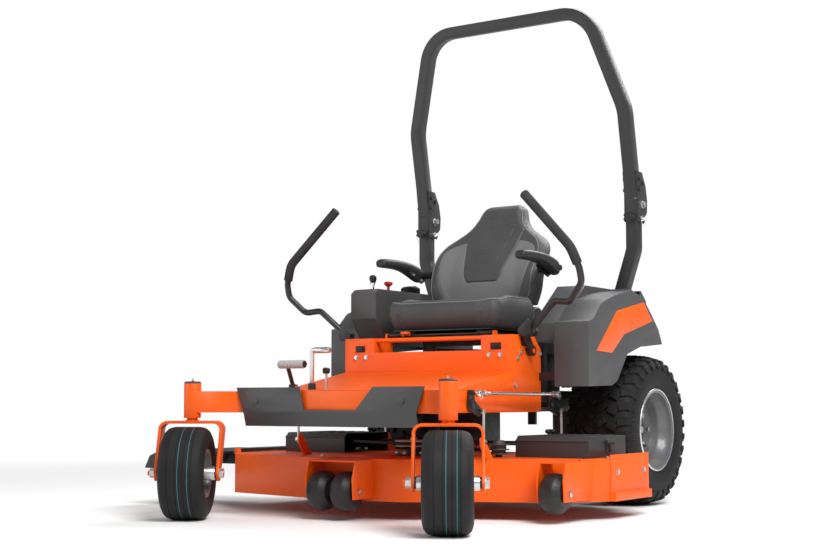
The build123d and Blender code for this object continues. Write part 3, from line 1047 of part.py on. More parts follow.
with BuildPart() as lift_rods:
    rod_z = LIFT_SHAFT_Z + CRANK_ROD_RISE
    for side in (-1, 1):
        rod((side * LIFT_ROD_X, FRONT_SHAFT_Y, rod_z), (side * LIFT_ROD_X, REAR_SHAFT_Y, rod_z), LIFT_ROD_R)
        eye_x = (side * (LIFT_ROD_X - 7), side * (LIFT_ROD_X + 7))
        for shaft_y in (FRONT_SHAFT_Y, REAR_SHAFT_Y):
            rod((eye_x[0], shaft_y, rod_z), (eye_x[1], shaft_y, rod_z), 12)
        for shaft_y in (FRONT_SHAFT_Y, REAR_SHAFT_Y):
            rod((eye_x[0], shaft_y, rod_z), (eye_x[1], shaft_y, rod_z), CRANK_PIN_R + PIN_GAP,
                mode=Mode.SUBTRACT)
save(lift_rods, "lift_rods")

# ================================================================ small hardware on the frame
with BuildPart() as frame_hardware:
    for side in (-1, 1):
        cap = (side * CASTER_PIVOT_X, CASTER_PIVOT_Y)
        rod((*cap, HOUSING_TOP_Z), (*cap, HOUSING_TOP_Z + 6), HOUSING_R - 2)
        block(sorted((side * (LATCH_X[0] + 0.3), side * (LATCH_X[1] - 0.3))),
              (TOWER_FRONT_Y - 4, TOWER_FRONT_Y + 12),
              (614.3, 639.7))
        for bolt_x, bolt_z in ((282, 594), (330, 594)):
            hex_head((side * bolt_x, TOWER_FRONT_Y, bolt_z), (0, -1, 0), 13, 6)
        for bolt_y, bolt_z in ((-741, 604), (-762, 582), (-590, 602), (-784, 480)):
            hex_head((side * RAIL_OUT_X, bolt_y, bolt_z), (side, 0, 0), 13, 6)
        front_wall_y = FENDER_FRONT_Y + FENDER_WALL
        block(sorted((side * RAIL_OUT_X, side * 500)), (front_wall_y, front_wall_y + 10), (500, 530))
        knob_y = ROPS_POST_Y - post_half
        rod((side * ROPS_X, knob_y - 20, ROPS_PIN_Z), (side * ROPS_X, knob_y, ROPS_PIN_Z), 6)
        rod((side * ROPS_X, knob_y - 40, ROPS_PIN_Z), (side * ROPS_X, knob_y - 20, ROPS_PIN_Z), 22)
    rod((-175, -1200, floor_z), (-175, -1200, 522), 5)
    rod((-175, -1200, 522), (-175, -1200, 544), 14)
    for ear_x in (PEDAL_X - 12, PEDAL_X + 6):
        block((ear_x, ear_x + 6), (PEDAL_Y - 12, PEDAL_Y + 12), (floor_z, PEDAL_Z + 8))
    rod((PEDAL_X - 12, PEDAL_Y, PEDAL_Z), (PEDAL_X + 12, PEDAL_Y, PEDAL_Z), 5)
    turned([(0, 8 + PIN_GAP), (0, 15), (24, 13), (24, 8 + PIN_GAP)], (HEIGHT_X, HEIGHT_Y, floor_z), (0, 0, 1))
save((frame_hardware, rops_pivot_bolts), "frame_hardware")
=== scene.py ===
"""Looks of the zero turn mower: finishes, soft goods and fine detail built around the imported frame.

Points are written in the machine frame, in metres: X to the operator's left, Y to the rear, Z up, with the
rear axle over Y = 0 and the ground at Z = 0. The function at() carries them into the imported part's frame.
"""

import json
import logging
from collections.abc import Callable, Iterable, Iterator, Sequence
from dataclasses import dataclass, field
from enum import Enum
from math import cos, exp, hypot, pi, radians, sin, tau

import bmesh
import bpy
from mathutils import Matrix, Vector, noise


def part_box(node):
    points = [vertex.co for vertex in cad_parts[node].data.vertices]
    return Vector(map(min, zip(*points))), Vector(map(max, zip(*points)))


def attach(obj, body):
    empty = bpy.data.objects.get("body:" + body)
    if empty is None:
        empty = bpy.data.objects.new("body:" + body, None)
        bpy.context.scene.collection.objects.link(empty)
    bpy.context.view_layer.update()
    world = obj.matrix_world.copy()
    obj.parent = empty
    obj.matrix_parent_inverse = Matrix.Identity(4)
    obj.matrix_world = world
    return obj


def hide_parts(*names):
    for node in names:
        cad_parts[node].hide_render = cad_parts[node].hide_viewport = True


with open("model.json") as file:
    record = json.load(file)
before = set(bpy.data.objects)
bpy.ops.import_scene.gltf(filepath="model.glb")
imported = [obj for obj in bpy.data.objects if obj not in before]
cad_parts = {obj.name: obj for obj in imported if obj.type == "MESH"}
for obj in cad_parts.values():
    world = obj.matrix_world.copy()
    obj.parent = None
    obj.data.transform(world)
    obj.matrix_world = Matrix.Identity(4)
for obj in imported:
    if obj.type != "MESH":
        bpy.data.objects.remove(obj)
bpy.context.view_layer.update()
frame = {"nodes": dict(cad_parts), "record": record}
LOG = logging.getLogger("mower")

Colour = tuple[float, float, float]
Point = tuple[float, float, float]
Socket = bpy.types.NodeSocket
UP = Vector((0.0, 0.0, 1.0))


def _machine_origin() -> Vector:
    """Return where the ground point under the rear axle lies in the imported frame."""
    low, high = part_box("rear_tyre_right")[0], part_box("rear_tyre_left")[1]
    return Vector(((low.x + high.x) / 2, (low.y + high.y) / 2, 0.0))


ORIGIN = _machine_origin()


def at(x: float, y: float, z: float) -> Vector:
    """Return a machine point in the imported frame."""
    return ORIGIN + Vector((x, y, z))


class Side(Enum):
    """The operator's two sides."""

    LEFT = 1
    RIGHT = -1

    @property
    def word(self) -> str:
        """Return the side as it stands in the names of nodes and bodies."""
        return self.name.lower()

    def at(self, x: float, y: float, z: float) -> Vector:
        """Return a point of the left side, or its mirror image on the right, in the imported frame."""
        return at(self.value * x, y, z)

    @property
    def outward(self) -> Vector:
        """Return the direction that points out of the machine on this side."""
        return Vector((float(self.value), 0.0, 0.0))

    def corners(self, low: Point, high: Point) -> tuple[Vector, Vector]:
        """Return the two corners of a block on this side, from two opposite ones of the left side's block."""
        ends = self.at(*low), self.at(*high)
        return Vector(map(min, *ends)), Vector(map(max, *ends))


def turns(count: int, phase: float = 0.0) -> Iterator[float]:
    """Return evenly spaced angles round a full turn, shifted by a share of one step."""
    return (tau * (step + phase) / count for step in range(count))


def hoop(centre: Vector, radius: float, count: int) -> list[Vector]:
    """Return the points of an upright ring whose axis lies across the machine."""
    return [centre + Vector((0.0, radius * cos(a), radius * sin(a))) for a in turns(count)]


# ------------------------------------------------------------------------------------------- finishes
class Graph:
    """The node tree of one material, with short ways to make the nodes that the finishes share."""

    def __init__(self, name: str) -> None:
        self.material = bpy.data.materials.new(name)
        self.material.use_nodes = True
        self.tree = self.material.node_tree
        self.shader = self.tree.nodes["Principled BSDF"]

    def feed(self, node: bpy.types.Node, inputs: dict) -> None:
        """Set a node's inputs.

        Args:
            node: The node whose inputs are set.
            inputs: Input names or places, each with a value or with the socket that drives it.
        """
        for key, value in inputs.items():
            if isinstance(value, Socket):
                self.tree.links.new(value, node.inputs[key])
            else:
                node.inputs[key].default_value = value

    def node(self, kind: str, inputs: dict | None = None, **settings: object) -> bpy.types.Node:
        """Return a new shader node with its settings and inputs filled in."""
        made = self.tree.nodes.new(f"ShaderNode{kind}")
        for key, value in settings.items():
            setattr(made, key, value)
        self.feed(made, inputs or {})
        return made

    def place(self, stretch: Point = (1.0, 1.0, 1.0)) -> Socket:
        """Return the object's own coordinates, stretched along each axis."""
        coordinates = self.node("TexCoord").outputs["Object"]
        return self.node("Mapping", {"Vector": coordinates, "Scale": stretch}).outputs["Vector"]

    def cloud(self, scale: float, detail: float = 3.0, stretch: Point = (1.0, 1.0, 1.0)) -> Socket:
        """Return a noise value with features of 1/scale metres."""
        inputs = {"Vector": self.place(stretch), "Scale": scale, "Detail": detail}
        return self.node("TexNoise", inputs).outputs["Fac"]

    def cells(self, scale: float, feature: str = "F1") -> Socket:
        """Return the distance to the nearest cell centre or edge of a cell pattern."""
        inputs = {"Vector": self.place(), "Scale": scale}
        return self.node("TexVoronoi", inputs, feature=feature).outputs["Distance"]

    def ramp(self, value: Socket, stops: Sequence[tuple[float, float]]) -> Socket:
        """Return a gray ramp of a value, given as (place, gray) stops."""
        made = self.node("ValToRGB", {"Fac": value})
        elements = made.color_ramp.elements
        while len(elements) < len(stops):
            elements.new(0.5)
        for element, (place, gray) in zip(elements, stops):
            element.position = place
            element.color = (gray, gray, gray, 1.0)
        return made.outputs["Color"]

    def mix(self, factor: Socket, first: object, second: object) -> Socket:
        """Return a colour between two, each a colour or a socket."""
        made = self.node("Mix", {0: factor}, data_type="RGBA")
        for index, value in ((6, first), (7, second)):
            self.feed(made, {index: (*value, 1.0) if isinstance(value, tuple) else value})
        return made.outputs[2]

    def sum(self, operation: str, first: object, second: object) -> Socket:
        """Return the result of a math operation on two values."""
        return self.node("Math", {0: first, 1: second}, operation=operation).outputs["Value"]

    def between(self, share: Socket, low: float, high: float) -> Socket:
        """Return a share from 0 to 1 stretched between two values."""
        return self.node("MapRange", {"Value": share, "To Min": low, "To Max": high}).outputs["Result"]

    def bump(self, height: Socket, distance: float, strength: float = 1.0,
             under: Socket | None = None) -> Socket:
        """Return a normal roughened by a height of the given depth in metres."""
        inputs = {"Height": height, "Distance": distance, "Strength": strength}
        if under is not None:
            inputs["Normal"] = under
        return self.node("Bump", inputs).outputs["Normal"]

    def shade(self, **inputs: object) -> None:
        """Set the shader's inputs, with an underscore for each space in their names."""
        named = {key.replace("_", " "): value for key, value in inputs.items()}
        if isinstance(named.get("Base Color"), tuple):
            named["Base Color"] = (*named["Base Color"], 1.0)
        self.feed(self.shader, named)


EVEN_STEP = ((0.3, 0.0), (0.7, 1.0))


def lighter(colour: Colour, factor: float) -> Colour:
    """Return a colour scaled in brightness."""
    return tuple(min(1.0, channel * factor) for channel in colour)


@dataclass(frozen=True)
class Finish:
    """A named surface finish that can be made into a material."""

    name: str
    colour: Colour

    def build(self) -> bpy.types.Material:
        """Return a new material with this finish."""
        raise NotImplementedError


@dataclass(frozen=True)
class Paint(Finish):
    """Powder coat: a pigmented layer with a fine orange-peel skin and faint handling marks."""

    roughness: float = 0.34
    coat: float = 0.35
    peel: float = 0.00016
    gloss: float = 0.5
    variation: float = 0.07

    def build(self) -> bpy.types.Material:
        """Return the powder coat's material."""
        graph = Graph(self.name)
        shade = graph.ramp(graph.cloud(3.5, 4.0), EVEN_STEP)
        dull, bright = lighter(self.colour, 1 - self.variation), lighter(self.colour, 1 + self.variation)
        marks = graph.ramp(graph.cloud(160.0, 6.0, (1.0, 1.0, 0.25)), [(0.46, 0.0), (0.72, 1.0)])
        rough = graph.between(marks, self.roughness, self.roughness + 0.12)
        skin = graph.bump(graph.cloud(620.0, 2.0), self.peel)
        graph.shade(Base_Color=graph.mix(shade, dull, bright), Roughness=rough, Normal=skin,
                    Coat_Weight=self.coat, Coat_Roughness=0.12, Specular_IOR_Level=self.gloss)
        return graph.material


@dataclass(frozen=True)
class Plastic(Finish):
    """Moulded plastic with a spark-eroded grain and lighter scuffs."""

    roughness: float = 0.5
    grain: float = 1100.0
    depth: float = 0.00022
    scuff: float = 0.12

    def build(self) -> bpy.types.Material:
        """Return the moulded plastic's material."""
        graph = Graph(self.name)
        pebbles = graph.cells(self.grain)
        scuffs = graph.ramp(graph.cloud(45.0, 8.0, (1.0, 0.35, 1.0)), [(0.55, 0.0), (0.8, 1.0)])
        tone = graph.ramp(graph.cloud(6.0, 3.0), EVEN_STEP)
        body = graph.mix(tone, lighter(self.colour, 0.92), lighter(self.colour, 1.08))
        worn = graph.mix(graph.sum("MULTIPLY", scuffs, self.scuff), body, lighter(self.colour, 1.9))
        rough = graph.between(scuffs, self.roughness, self.roughness + 0.15)
        graph.shade(Base_Color=worn, Roughness=rough, Normal=graph.bump(pebbles, self.depth, 0.6),
                    Specular_IOR_Level=0.45)
        return graph.material


@dataclass(frozen=True)
class Rubber(Finish):
    """Vulcanised rubber with a fine bloom that is lighter where it has been handled."""

    roughness: float = 0.62
    bloom: Colour = (0.075, 0.073, 0.07)

    def build(self) -> bpy.types.Material:
        """Return the rubber's material."""
        graph = Graph(self.name)
        blooming = graph.ramp(graph.cloud(14.0, 8.0), [(0.42, 0.0), (0.78, 0.55)])
        speck = graph.ramp(graph.cloud(900.0, 2.0), [(0.35, 0.0), (0.75, 1.0)])
        rough = graph.between(blooming, self.roughness, self.roughness + 0.2)
        grain = graph.bump(speck, 0.00018, 0.5)
        graph.shade(Base_Color=graph.mix(blooming, self.colour, self.bloom), Roughness=rough,
                    Normal=graph.bump(graph.cloud(90.0, 4.0), 0.0004, 0.5, grain), Specular_IOR_Level=0.25)
        return graph.material


@dataclass(frozen=True)
class Metal(Finish):
    """Bare or plated metal with fine scratches drawn out along one axis."""

    roughness: float = 0.28
    stretch: Point = (1.0, 12.0, 12.0)
    stain: Colour = (0.30, 0.28, 0.25)
    stained: float = 0.25
    pitted: float = 0.00008

    def build(self) -> bpy.types.Material:
        """Return the metal's material."""
        graph = Graph(self.name)
        scratches = graph.cloud(260.0, 5.0, self.stretch)
        patches = graph.ramp(graph.cloud(38.0, 7.0), [(0.45, 0.0), (0.75, self.stained)])
        rough = graph.between(scratches, self.roughness - 0.1, self.roughness + 0.2)
        graph.shade(Base_Color=graph.mix(patches, self.colour, self.stain), Metallic=1.0,
                    Roughness=rough, Normal=graph.bump(scratches, self.pitted, 0.6))
        return graph.material


@dataclass(frozen=True)
class Casting(Finish):
    """Painted sand casting with a coarse skin."""

    roughness: float = 0.55
    metallic: float = 0.0

    def build(self) -> bpy.types.Material:
        """Return the casting's material."""
        graph = Graph(self.name)
        coarse = graph.cloud(240.0, 8.0)
        dirt = graph.ramp(graph.cloud(22.0, 6.0), [(0.4, 0.0), (0.8, 1.0)])
        sand = graph.bump(coarse, 0.0007, 0.7)
        stained = graph.mix(dirt, self.colour, lighter(self.colour, 1.7))
        graph.shade(Base_Color=stained, Roughness=self.roughness, Metallic=self.metallic, Normal=sand)
        return graph.material


@dataclass(frozen=True)
class Upholstery(Finish):
    """Seat vinyl and cloth. A piece's own "insert" attribute, in metres, is above 0 on the lighter cloth."""

    cloth: Colour = (0.2, 0.2, 0.203)
    roughness: float = 0.5
    cloth_roughness: float = 0.85
    seam_half: float = 0.0006

    def build(self) -> bpy.types.Material:
        """Return the upholstery's material."""
        graph = Graph(self.name)
        insert = graph.node("Attribute", attribute_name="insert").outputs["Fac"]
        inside = graph.node("MapRange", {"Value": insert, "From Min": -self.seam_half,
                                         "From Max": self.seam_half}).outputs["Result"]
        tone = graph.ramp(graph.cloud(9.0, 5.0), EVEN_STEP)
        vinyl = graph.mix(tone, lighter(self.colour, 0.88), lighter(self.colour, 1.12))
        fleck = graph.ramp(graph.cloud(750.0, 3.0), EVEN_STEP)
        woven = graph.mix(fleck, lighter(self.cloth, 0.72), lighter(self.cloth, 1.25))
        hide = graph.cells(520.0, "DISTANCE_TO_EDGE")
        warp, weft = (graph.cloud(900.0, 2.0, stretch) for stretch in ((1.0, 1.0, 0.3), (0.3, 1.0, 1.0)))
        threads = graph.ramp(graph.sum("ADD", warp, weft), [(0.0, 0.0), (1.0, 1.0)])
        relief = graph.mix(inside, graph.ramp(hide, [(0.0, 0.0), (0.25, 0.6)]), threads)
        rough = graph.between(inside, self.roughness, self.cloth_roughness)
        creases = graph.bump(graph.cloud(26.0, 5.0), 0.0016, 0.35)
        graph.shade(Base_Color=graph.mix(inside, vinyl, woven), Roughness=rough,
                    Normal=graph.bump(relief, 0.0004, 0.7, creases), Sheen_Weight=0.12, Sheen_Roughness=0.4)
        return graph.material


@dataclass(frozen=True)
class Backdrop(Finish):
    """Matt studio paper that is evenly lit and pure white far from the machine."""

    near: float = 1.9
    far: float = 5.5

    def build(self) -> bpy.types.Material:
        """Return the paper's material."""
        graph = Graph(self.name)
        distance = graph.node("VectorMath", {0: graph.place()}, operation="LENGTH").outputs["Value"]
        faded = graph.node("MapRange", {"Value": distance, "From Min": self.near, "From Max": self.far},
                           interpolation_type="SMOOTHSTEP").outputs["Result"]
        graph.shade(Base_Color=self.colour, Roughness=0.9, Specular_IOR_Level=0.1)
        glow = graph.node("Emission", {"Color": (1.0, 1.0, 1.0, 1.0), "Strength": 1.0}).outputs["Emission"]
        blend = graph.node("MixShader", {0: faded, 1: graph.shader.outputs["BSDF"], 2: glow})
        graph.tree.links.new(blend.outputs["Shader"], graph.tree.nodes["Material Output"].inputs["Surface"])
        return graph.material


ORANGE = Paint("orange_powder_coat", (0.84, 0.104, 0.001), roughness=0.40, coat=0.05, gloss=0.32)
CHARCOAL = Paint("charcoal_powder_coat", (0.044, 0.045, 0.047), roughness=0.46, coat=0.1, peel=0.00022)
ROLL_BAR_GRAY = Paint("roll_bar_powder_coat", (0.024, 0.0245, 0.026), roughness=0.44, coat=0.05, peel=0.00022,
                      gloss=0.4)
RIM_GRAY = Paint("rim_enamel", (0.12, 0.122, 0.126), roughness=0.36, coat=0.25)
BLACK_PAINT = Paint("black_enamel", (0.010, 0.010, 0.011), roughness=0.42, coat=0.1)
FENDER_GRAY = Plastic("fender_plastic", (0.064, 0.065, 0.0675), roughness=0.5)
COVER_GRAY = Plastic("cover_plastic", (0.034, 0.035, 0.037), roughness=0.48, grain=900.0)
BLACK_PLASTIC = Plastic("black_plastic", (0.012, 0.012, 0.0125), roughness=0.44)
RED_PLASTIC = Plastic("red_knob_plastic", (0.6, 0.018, 0.012), roughness=0.28, depth=0.00005, scuff=0.05)
ORANGE_PLASTIC = Plastic("orange_badge_plastic", (0.84, 0.108, 0.003), roughness=0.3, depth=0.00006,
                         scuff=0.04)
TYRE = Rubber("tyre_rubber", (0.0105, 0.0105, 0.011), bloom=(0.024, 0.0235, 0.023))
SMOOTH_RUBBER = Rubber("grip_foam", (0.024, 0.024, 0.025), roughness=0.7, bloom=(0.05, 0.05, 0.051))
ZINC = Metal("zinc_plate", (0.66, 0.66, 0.645))
CHROME = Metal("bright_steel", (0.82, 0.82, 0.82), roughness=0.2, stained=0.08)
DARK_STEEL = Metal("blackened_steel", (0.09, 0.09, 0.092), roughness=0.42, stain=(0.16, 0.13, 0.1))
BLADE_STEEL = Metal("blade_steel", (0.42, 0.41, 0.39), roughness=0.36, stained=0.5)
EXHAUST = Metal("exhaust_steel", (0.4, 0.37, 0.33), roughness=0.44, stain=(0.2, 0.13, 0.08), stained=0.7)
IRON = Casting("cast_housing", (0.045, 0.045, 0.046))
ENGINE_BLACK = Casting("engine_casting", (0.02, 0.02, 0.021), roughness=0.45)
SEAT_VINYL = Upholstery("seat_vinyl", (0.048, 0.0485, 0.05), cloth=(0.135, 0.135, 0.138))
PAPER = Backdrop("studio_paper", (0.93, 0.93, 0.93))
TEAL_LINE = Plastic("teal_line", (0.03, 0.22, 0.26))
PIPING_VINYL = Plastic("piping_vinyl", (0.2, 0.2, 0.205), roughness=0.4)
ARMREST_SKIN = Plastic("armrest_skin", (0.02, 0.02, 0.021), roughness=0.46, grain=700.0)
PEDAL_SLEEVE = Plastic("pedal_sleeve", (0.36, 0.36, 0.365), grain=500.0)


class Palette:
    """Makes each finish's material once and hands it out."""

    _made: dict[str, bpy.types.Material] = {}

    @classmethod
    def get(cls, finish: Finish) -> bpy.types.Material:
        """Return the material of a finish."""
        if finish.name not in cls._made:
            cls._made[finish.name] = finish.build()
        return cls._made[finish.name]


# ---------------------------------------------------------------------------------------- one new piece
@dataclass
class Piece:
    """One new mesh that is built up from solids and then placed on a body."""

    name: str
    body: str
    slot: str
    finish: Finish
    mesh: bmesh.types.BMesh = field(default_factory=bmesh.new)

    def _towards(self, start: Vector, axis: Vector) -> Matrix:
        """Return the matrix that stands the Z axis along another one at a point."""
        return Matrix.Translation(start) @ axis.to_track_quat("Z", "Y").to_matrix().to_4x4()

    def bar(self, start: Vector, end: Vector, radius: float, sides: int = 20,
            tip: float | None = None) -> None:
        """Add a round bar or, with another tip radius, a cone between two points."""
        axis = end - start
        bmesh.ops.create_cone(self.mesh, cap_ends=True, segments=sides, radius1=radius,
                              radius2=radius if tip is None else tip, depth=axis.length,
                              matrix=self._towards((start + end) / 2, axis))

    def box(self, low: Vector, high: Vector, soften: float = 0.0) -> None:
        """Add a block between two corners, with its edges rounded."""
        size = high - low
        placed = Matrix.Translation((low + high) / 2) @ Matrix.Diagonal((*size, 1.0))
        made = bmesh.ops.create_cube(self.mesh, size=1.0, matrix=placed)
        if soften:
            self._round(list({edge for vert in made["verts"] for edge in vert.link_edges}), soften)

    def _round(self, edges: Sequence[bmesh.types.BMEdge], width: float) -> None:
        """Round some edges."""
        bmesh.ops.bevel(self.mesh, geom=edges, offset=width, offset_type="OFFSET", affect="EDGES",
                        segments=2, profile=0.5, material=-1, clamp_overlap=True)

    def chamfer(self, edges: Iterable[bmesh.types.BMEdge], width: float) -> None:
        """Cut some edges off flat."""
        bmesh.ops.bevel(self.mesh, geom=list(set(edges)), offset=width, offset_type="OFFSET", affect="EDGES",
                        segments=1, profile=0.5, material=-1)

    def ball(self, centre: Vector, radius: float, squash: Point = (1.0, 1.0, 1.0)) -> None:
        """Add a ball, or with a squash an egg."""
        matrix = Matrix.Translation(centre) @ Matrix.Diagonal((*squash, 1.0))
        bmesh.ops.create_uvsphere(self.mesh, u_segments=24, v_segments=14, radius=radius, matrix=matrix)

    def lathe(self, outline: Sequence[tuple[float, float]], centre: Vector, axis: Vector, steps: int = 64,
              ring: bool = False) -> None:
        """Turn an outline about an axis.

        Args:
            outline: Points as (distance along the axis, radius).
            centre: Where distance 0 lies.
            axis: The axis to turn about.
            steps: How many faces go round.
            ring: Whether the outline closes on itself, as a tyre's does.
        """
        along = axis.normalized()
        across = along.orthogonal().normalized()
        points = [self.mesh.verts.new(centre + along * step + across * radius) for step, radius in outline]
        pairs = list(zip(points, points[1:])) + ([(points[-1], points[0])] if ring else [])
        edges = [self.mesh.edges.new(pair) for pair in pairs]
        bmesh.ops.spin(self.mesh, geom=points + edges, cent=centre, axis=along, angle=tau, steps=steps,
                       use_merge=True)

    def plate(self, outline: Sequence[Vector], thickness: Vector, soften: float = 0.0) -> None:
        """Add a flat plate from its outline, thickened along a vector, with its rim rounded."""
        face = self.mesh.faces.new([self.mesh.verts.new(point) for point in outline])
        made = bmesh.ops.extrude_face_region(self.mesh, geom=[face])
        moved = [item for item in made["geom"] if isinstance(item, bmesh.types.BMVert)]
        bmesh.ops.translate(self.mesh, verts=moved, vec=thickness)
        if soften:
            self._round(list({edge for vert in moved + list(face.verts) for edge in vert.link_edges}), soften)

    def tube(self, route: Sequence[Vector], radius: float, smooth: bool = True, sides: int = 3,
             closed: bool = False) -> None:
        """Add a round tube or wire along a route.

        Args:
            route: The points that steer the line.
            radius: Half the tube's thickness.
            smooth: Whether the line curves past its points or runs straight between them.
            sides: The bevel resolution of the round section.
            closed: Whether the line comes back to its start.
        """
        curve = bpy.data.curves.new(self.name, "CURVE")
        curve.dimensions = "3D"
        curve.bevel_depth = radius
        curve.bevel_resolution = sides
        curve.use_fill_caps = not closed
        curve.resolution_u = 8
        spline = curve.splines.new("NURBS" if smooth else "POLY")
        spline.points.add(len(route) - 1)
        for point, place in zip(spline.points, route):
            point.co = (*place, 1.0)
        spline.use_cyclic_u = closed
        if smooth:
            spline.order_u = 3
            spline.use_endpoint_u = not closed
        carrier = bpy.data.objects.new(self.name, curve)
        mesh = bpy.data.meshes.new_from_object(carrier)
        self.mesh.from_mesh(mesh)
        bpy.data.objects.remove(carrier)
        bpy.data.curves.remove(curve)
        bpy.data.meshes.remove(mesh)

    def bolt(self, centre: Vector, axis: Vector, across: float = 0.013, head: float = 0.006,
             washer: bool = True) -> None:
        """Add a hexagonal flange head that stands on a surface."""
        up = axis.normalized()
        start = centre
        if washer:
            self.bar(centre - up * 0.0004, centre + up * 0.0018, across * 0.72)
            start = centre + up * 0.0015
        self.bar(start, start + up * head, across / 2 / cos(pi / 6), sides=6)
        self.bar(start + up * head, start + up * (head + 0.0006), across * 0.36, sides=16)

    def done(self, replaces: Iterable[str] = (), bevel: float = 0.0, levels: int = 0, flat: float = 35.0,
             merge: bool = True) -> bpy.types.Object:
        """Finish the mesh, put it on its body and return the object.

        Args:
            replaces: The CAD nodes that this piece stands for.
            bevel: The width of a bevel on every sharp edge.
            levels: How many times the surface is subdivided.
            flat: The angle in degrees above which an edge stays sharp.
            merge: Whether doubled points are merged and normals worked out again.
        """
        if merge:
            bmesh.ops.remove_doubles(self.mesh, verts=self.mesh.verts, dist=1e-6)
            bmesh.ops.recalc_face_normals(self.mesh, faces=self.mesh.faces)
        data = bpy.data.meshes.new(self.name)
        self.mesh.to_mesh(data)
        self.mesh.free()
        piece = bpy.data.objects.new(self.name, data)
        bpy.context.scene.collection.objects.link(piece)
        data.materials.append(Palette.get(self.finish))
        data.shade_smooth()
        if levels:
            rounded = piece.modifiers.new("round", "SUBSURF")
            rounded.levels = rounded.render_levels = levels
        if bevel:
            edge = piece.modifiers.new("edges", "BEVEL")
            edge.width = bevel
            edge.segments = 2
            edge.limit_method = "ANGLE"
            edge.angle_limit = radians(flat)
            edge.harden_normals = True
        elif flat < 180 and not levels:
            data.set_sharp_from_angle(angle=radians(flat))
        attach(piece, self.body)
        nodes = list(replaces)
        if nodes:
            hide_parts(*nodes)
        LOG.info("%s: %d faces on %s", self.name, len(data.polygons), self.body)
        return piece


BODY_OF = {node: body for body, nodes in frame["record"]["behaviour"]["bodies"].items() for node in nodes}
SLOT_OF = {row["node"]: row["material_slot"] for row in frame["record"]["subparts"]}


def formed(node: str, finish: Finish, edge: float = 0.002, flat: float = 38.0) -> bpy.types.Object:
    """Stand in for a CAD node with a copy whose flat faces are whole and whose edges are rounded.

    Args:
        node: The CAD node.
        finish: Its finish.
        edge: The width of the rounded edges.
        flat: The angle above which an edge counts as one.

    Returns:
        The rounded copy, which replaces the node.
    """
    piece = Piece(f"{node}_formed", BODY_OF[node], SLOT_OF[node], finish)
    piece.mesh.from_mesh(frame["nodes"][node].data)
    bmesh.ops.remove_doubles(piece.mesh, verts=piece.mesh.verts, dist=2e-6)
    bmesh.ops.dissolve_limit(piece.mesh, angle_limit=radians(0.3), verts=piece.mesh.verts,
                             edges=piece.mesh.edges, use_dissolve_boundaries=False)
    return piece.done(replaces=[node], bevel=edge, flat=flat, merge=False)


# --------------------------------------------------------------------------------------------- studio
@dataclass
class Studio:
    """Floor, lamps and camera."""

    lens_mm: float = 60.64
    camera_at: Point = (2.9317, -5.3346, 0.4205)
    looking: Point = (-0.5468, 0.8325, 0.0889)
    ambient: float = 0.34

    def build(self) -> None:
        """Make the floor, the lamps, the surrounding light and the camera."""
        self._floor()
        self._lamp("key", (3.4, -3.2, 4.4), 330.0, 2.6)
        self._lamp("fill", (-4.2, -4.4, 1.9), 60.0, 3.5)
        self._lamp("rim", (0.5, 3.6, 4.8), 240.0, 3.5)
        scene = bpy.context.scene
        scene.world = self._surround()
        scene.view_settings.view_transform = "Standard"
        lens = bpy.data.cameras.new("camera")
        lens.lens = self.lens_mm
        lens.sensor_width = 36.0
        camera = bpy.data.objects.new("camera", lens)
        scene.collection.objects.link(camera)
        camera.location = at(*self.camera_at)
        camera.rotation_euler = Vector(self.looking).to_track_quat("-Z", "Y").to_euler()
        scene.camera = camera

    def _surround(self) -> bpy.types.World:
        """Return a world that is white behind the machine and dimmer where it lights it."""
        world = bpy.data.worlds.new("studio")
        world.use_nodes = True
        tree = world.node_tree
        seen = tree.nodes.new("ShaderNodeLightPath").outputs["Is Camera Ray"]
        strength = tree.nodes.new("ShaderNodeMapRange")
        tree.links.new(seen, strength.inputs["Value"])
        strength.inputs["To Min"].default_value = self.ambient
        background = tree.nodes["Background"]
        background.inputs["Color"].default_value = (1.0, 1.0, 1.0, 1.0)
        tree.links.new(strength.outputs["Result"], background.inputs["Strength"])
        return world

    def _floor(self) -> None:
        """Lay the studio paper."""
        mesh = bmesh.new()
        bmesh.ops.create_grid(mesh, x_segments=1, y_segments=1, size=60.0)
        data = bpy.data.meshes.new("floor")
        mesh.to_mesh(data)
        mesh.free()
        data.materials.append(Palette.get(PAPER))
        floor = bpy.data.objects.new("floor", data)
        bpy.context.scene.collection.objects.link(floor)

    def _lamp(self, name: str, place: Point, watts: float, size: float) -> None:
        """Hang one square softbox that faces the middle of the machine."""
        light = bpy.data.lights.new(name, "AREA")
        light.energy = watts
        light.size = size
        lamp = bpy.data.objects.new(name, light)
        bpy.context.scene.collection.objects.link(lamp)
        lamp.location = at(*place)
        aim = at(0.0, -0.6, 0.7) - lamp.location
        lamp.rotation_euler = aim.to_track_quat("-Z", "Y").to_euler()


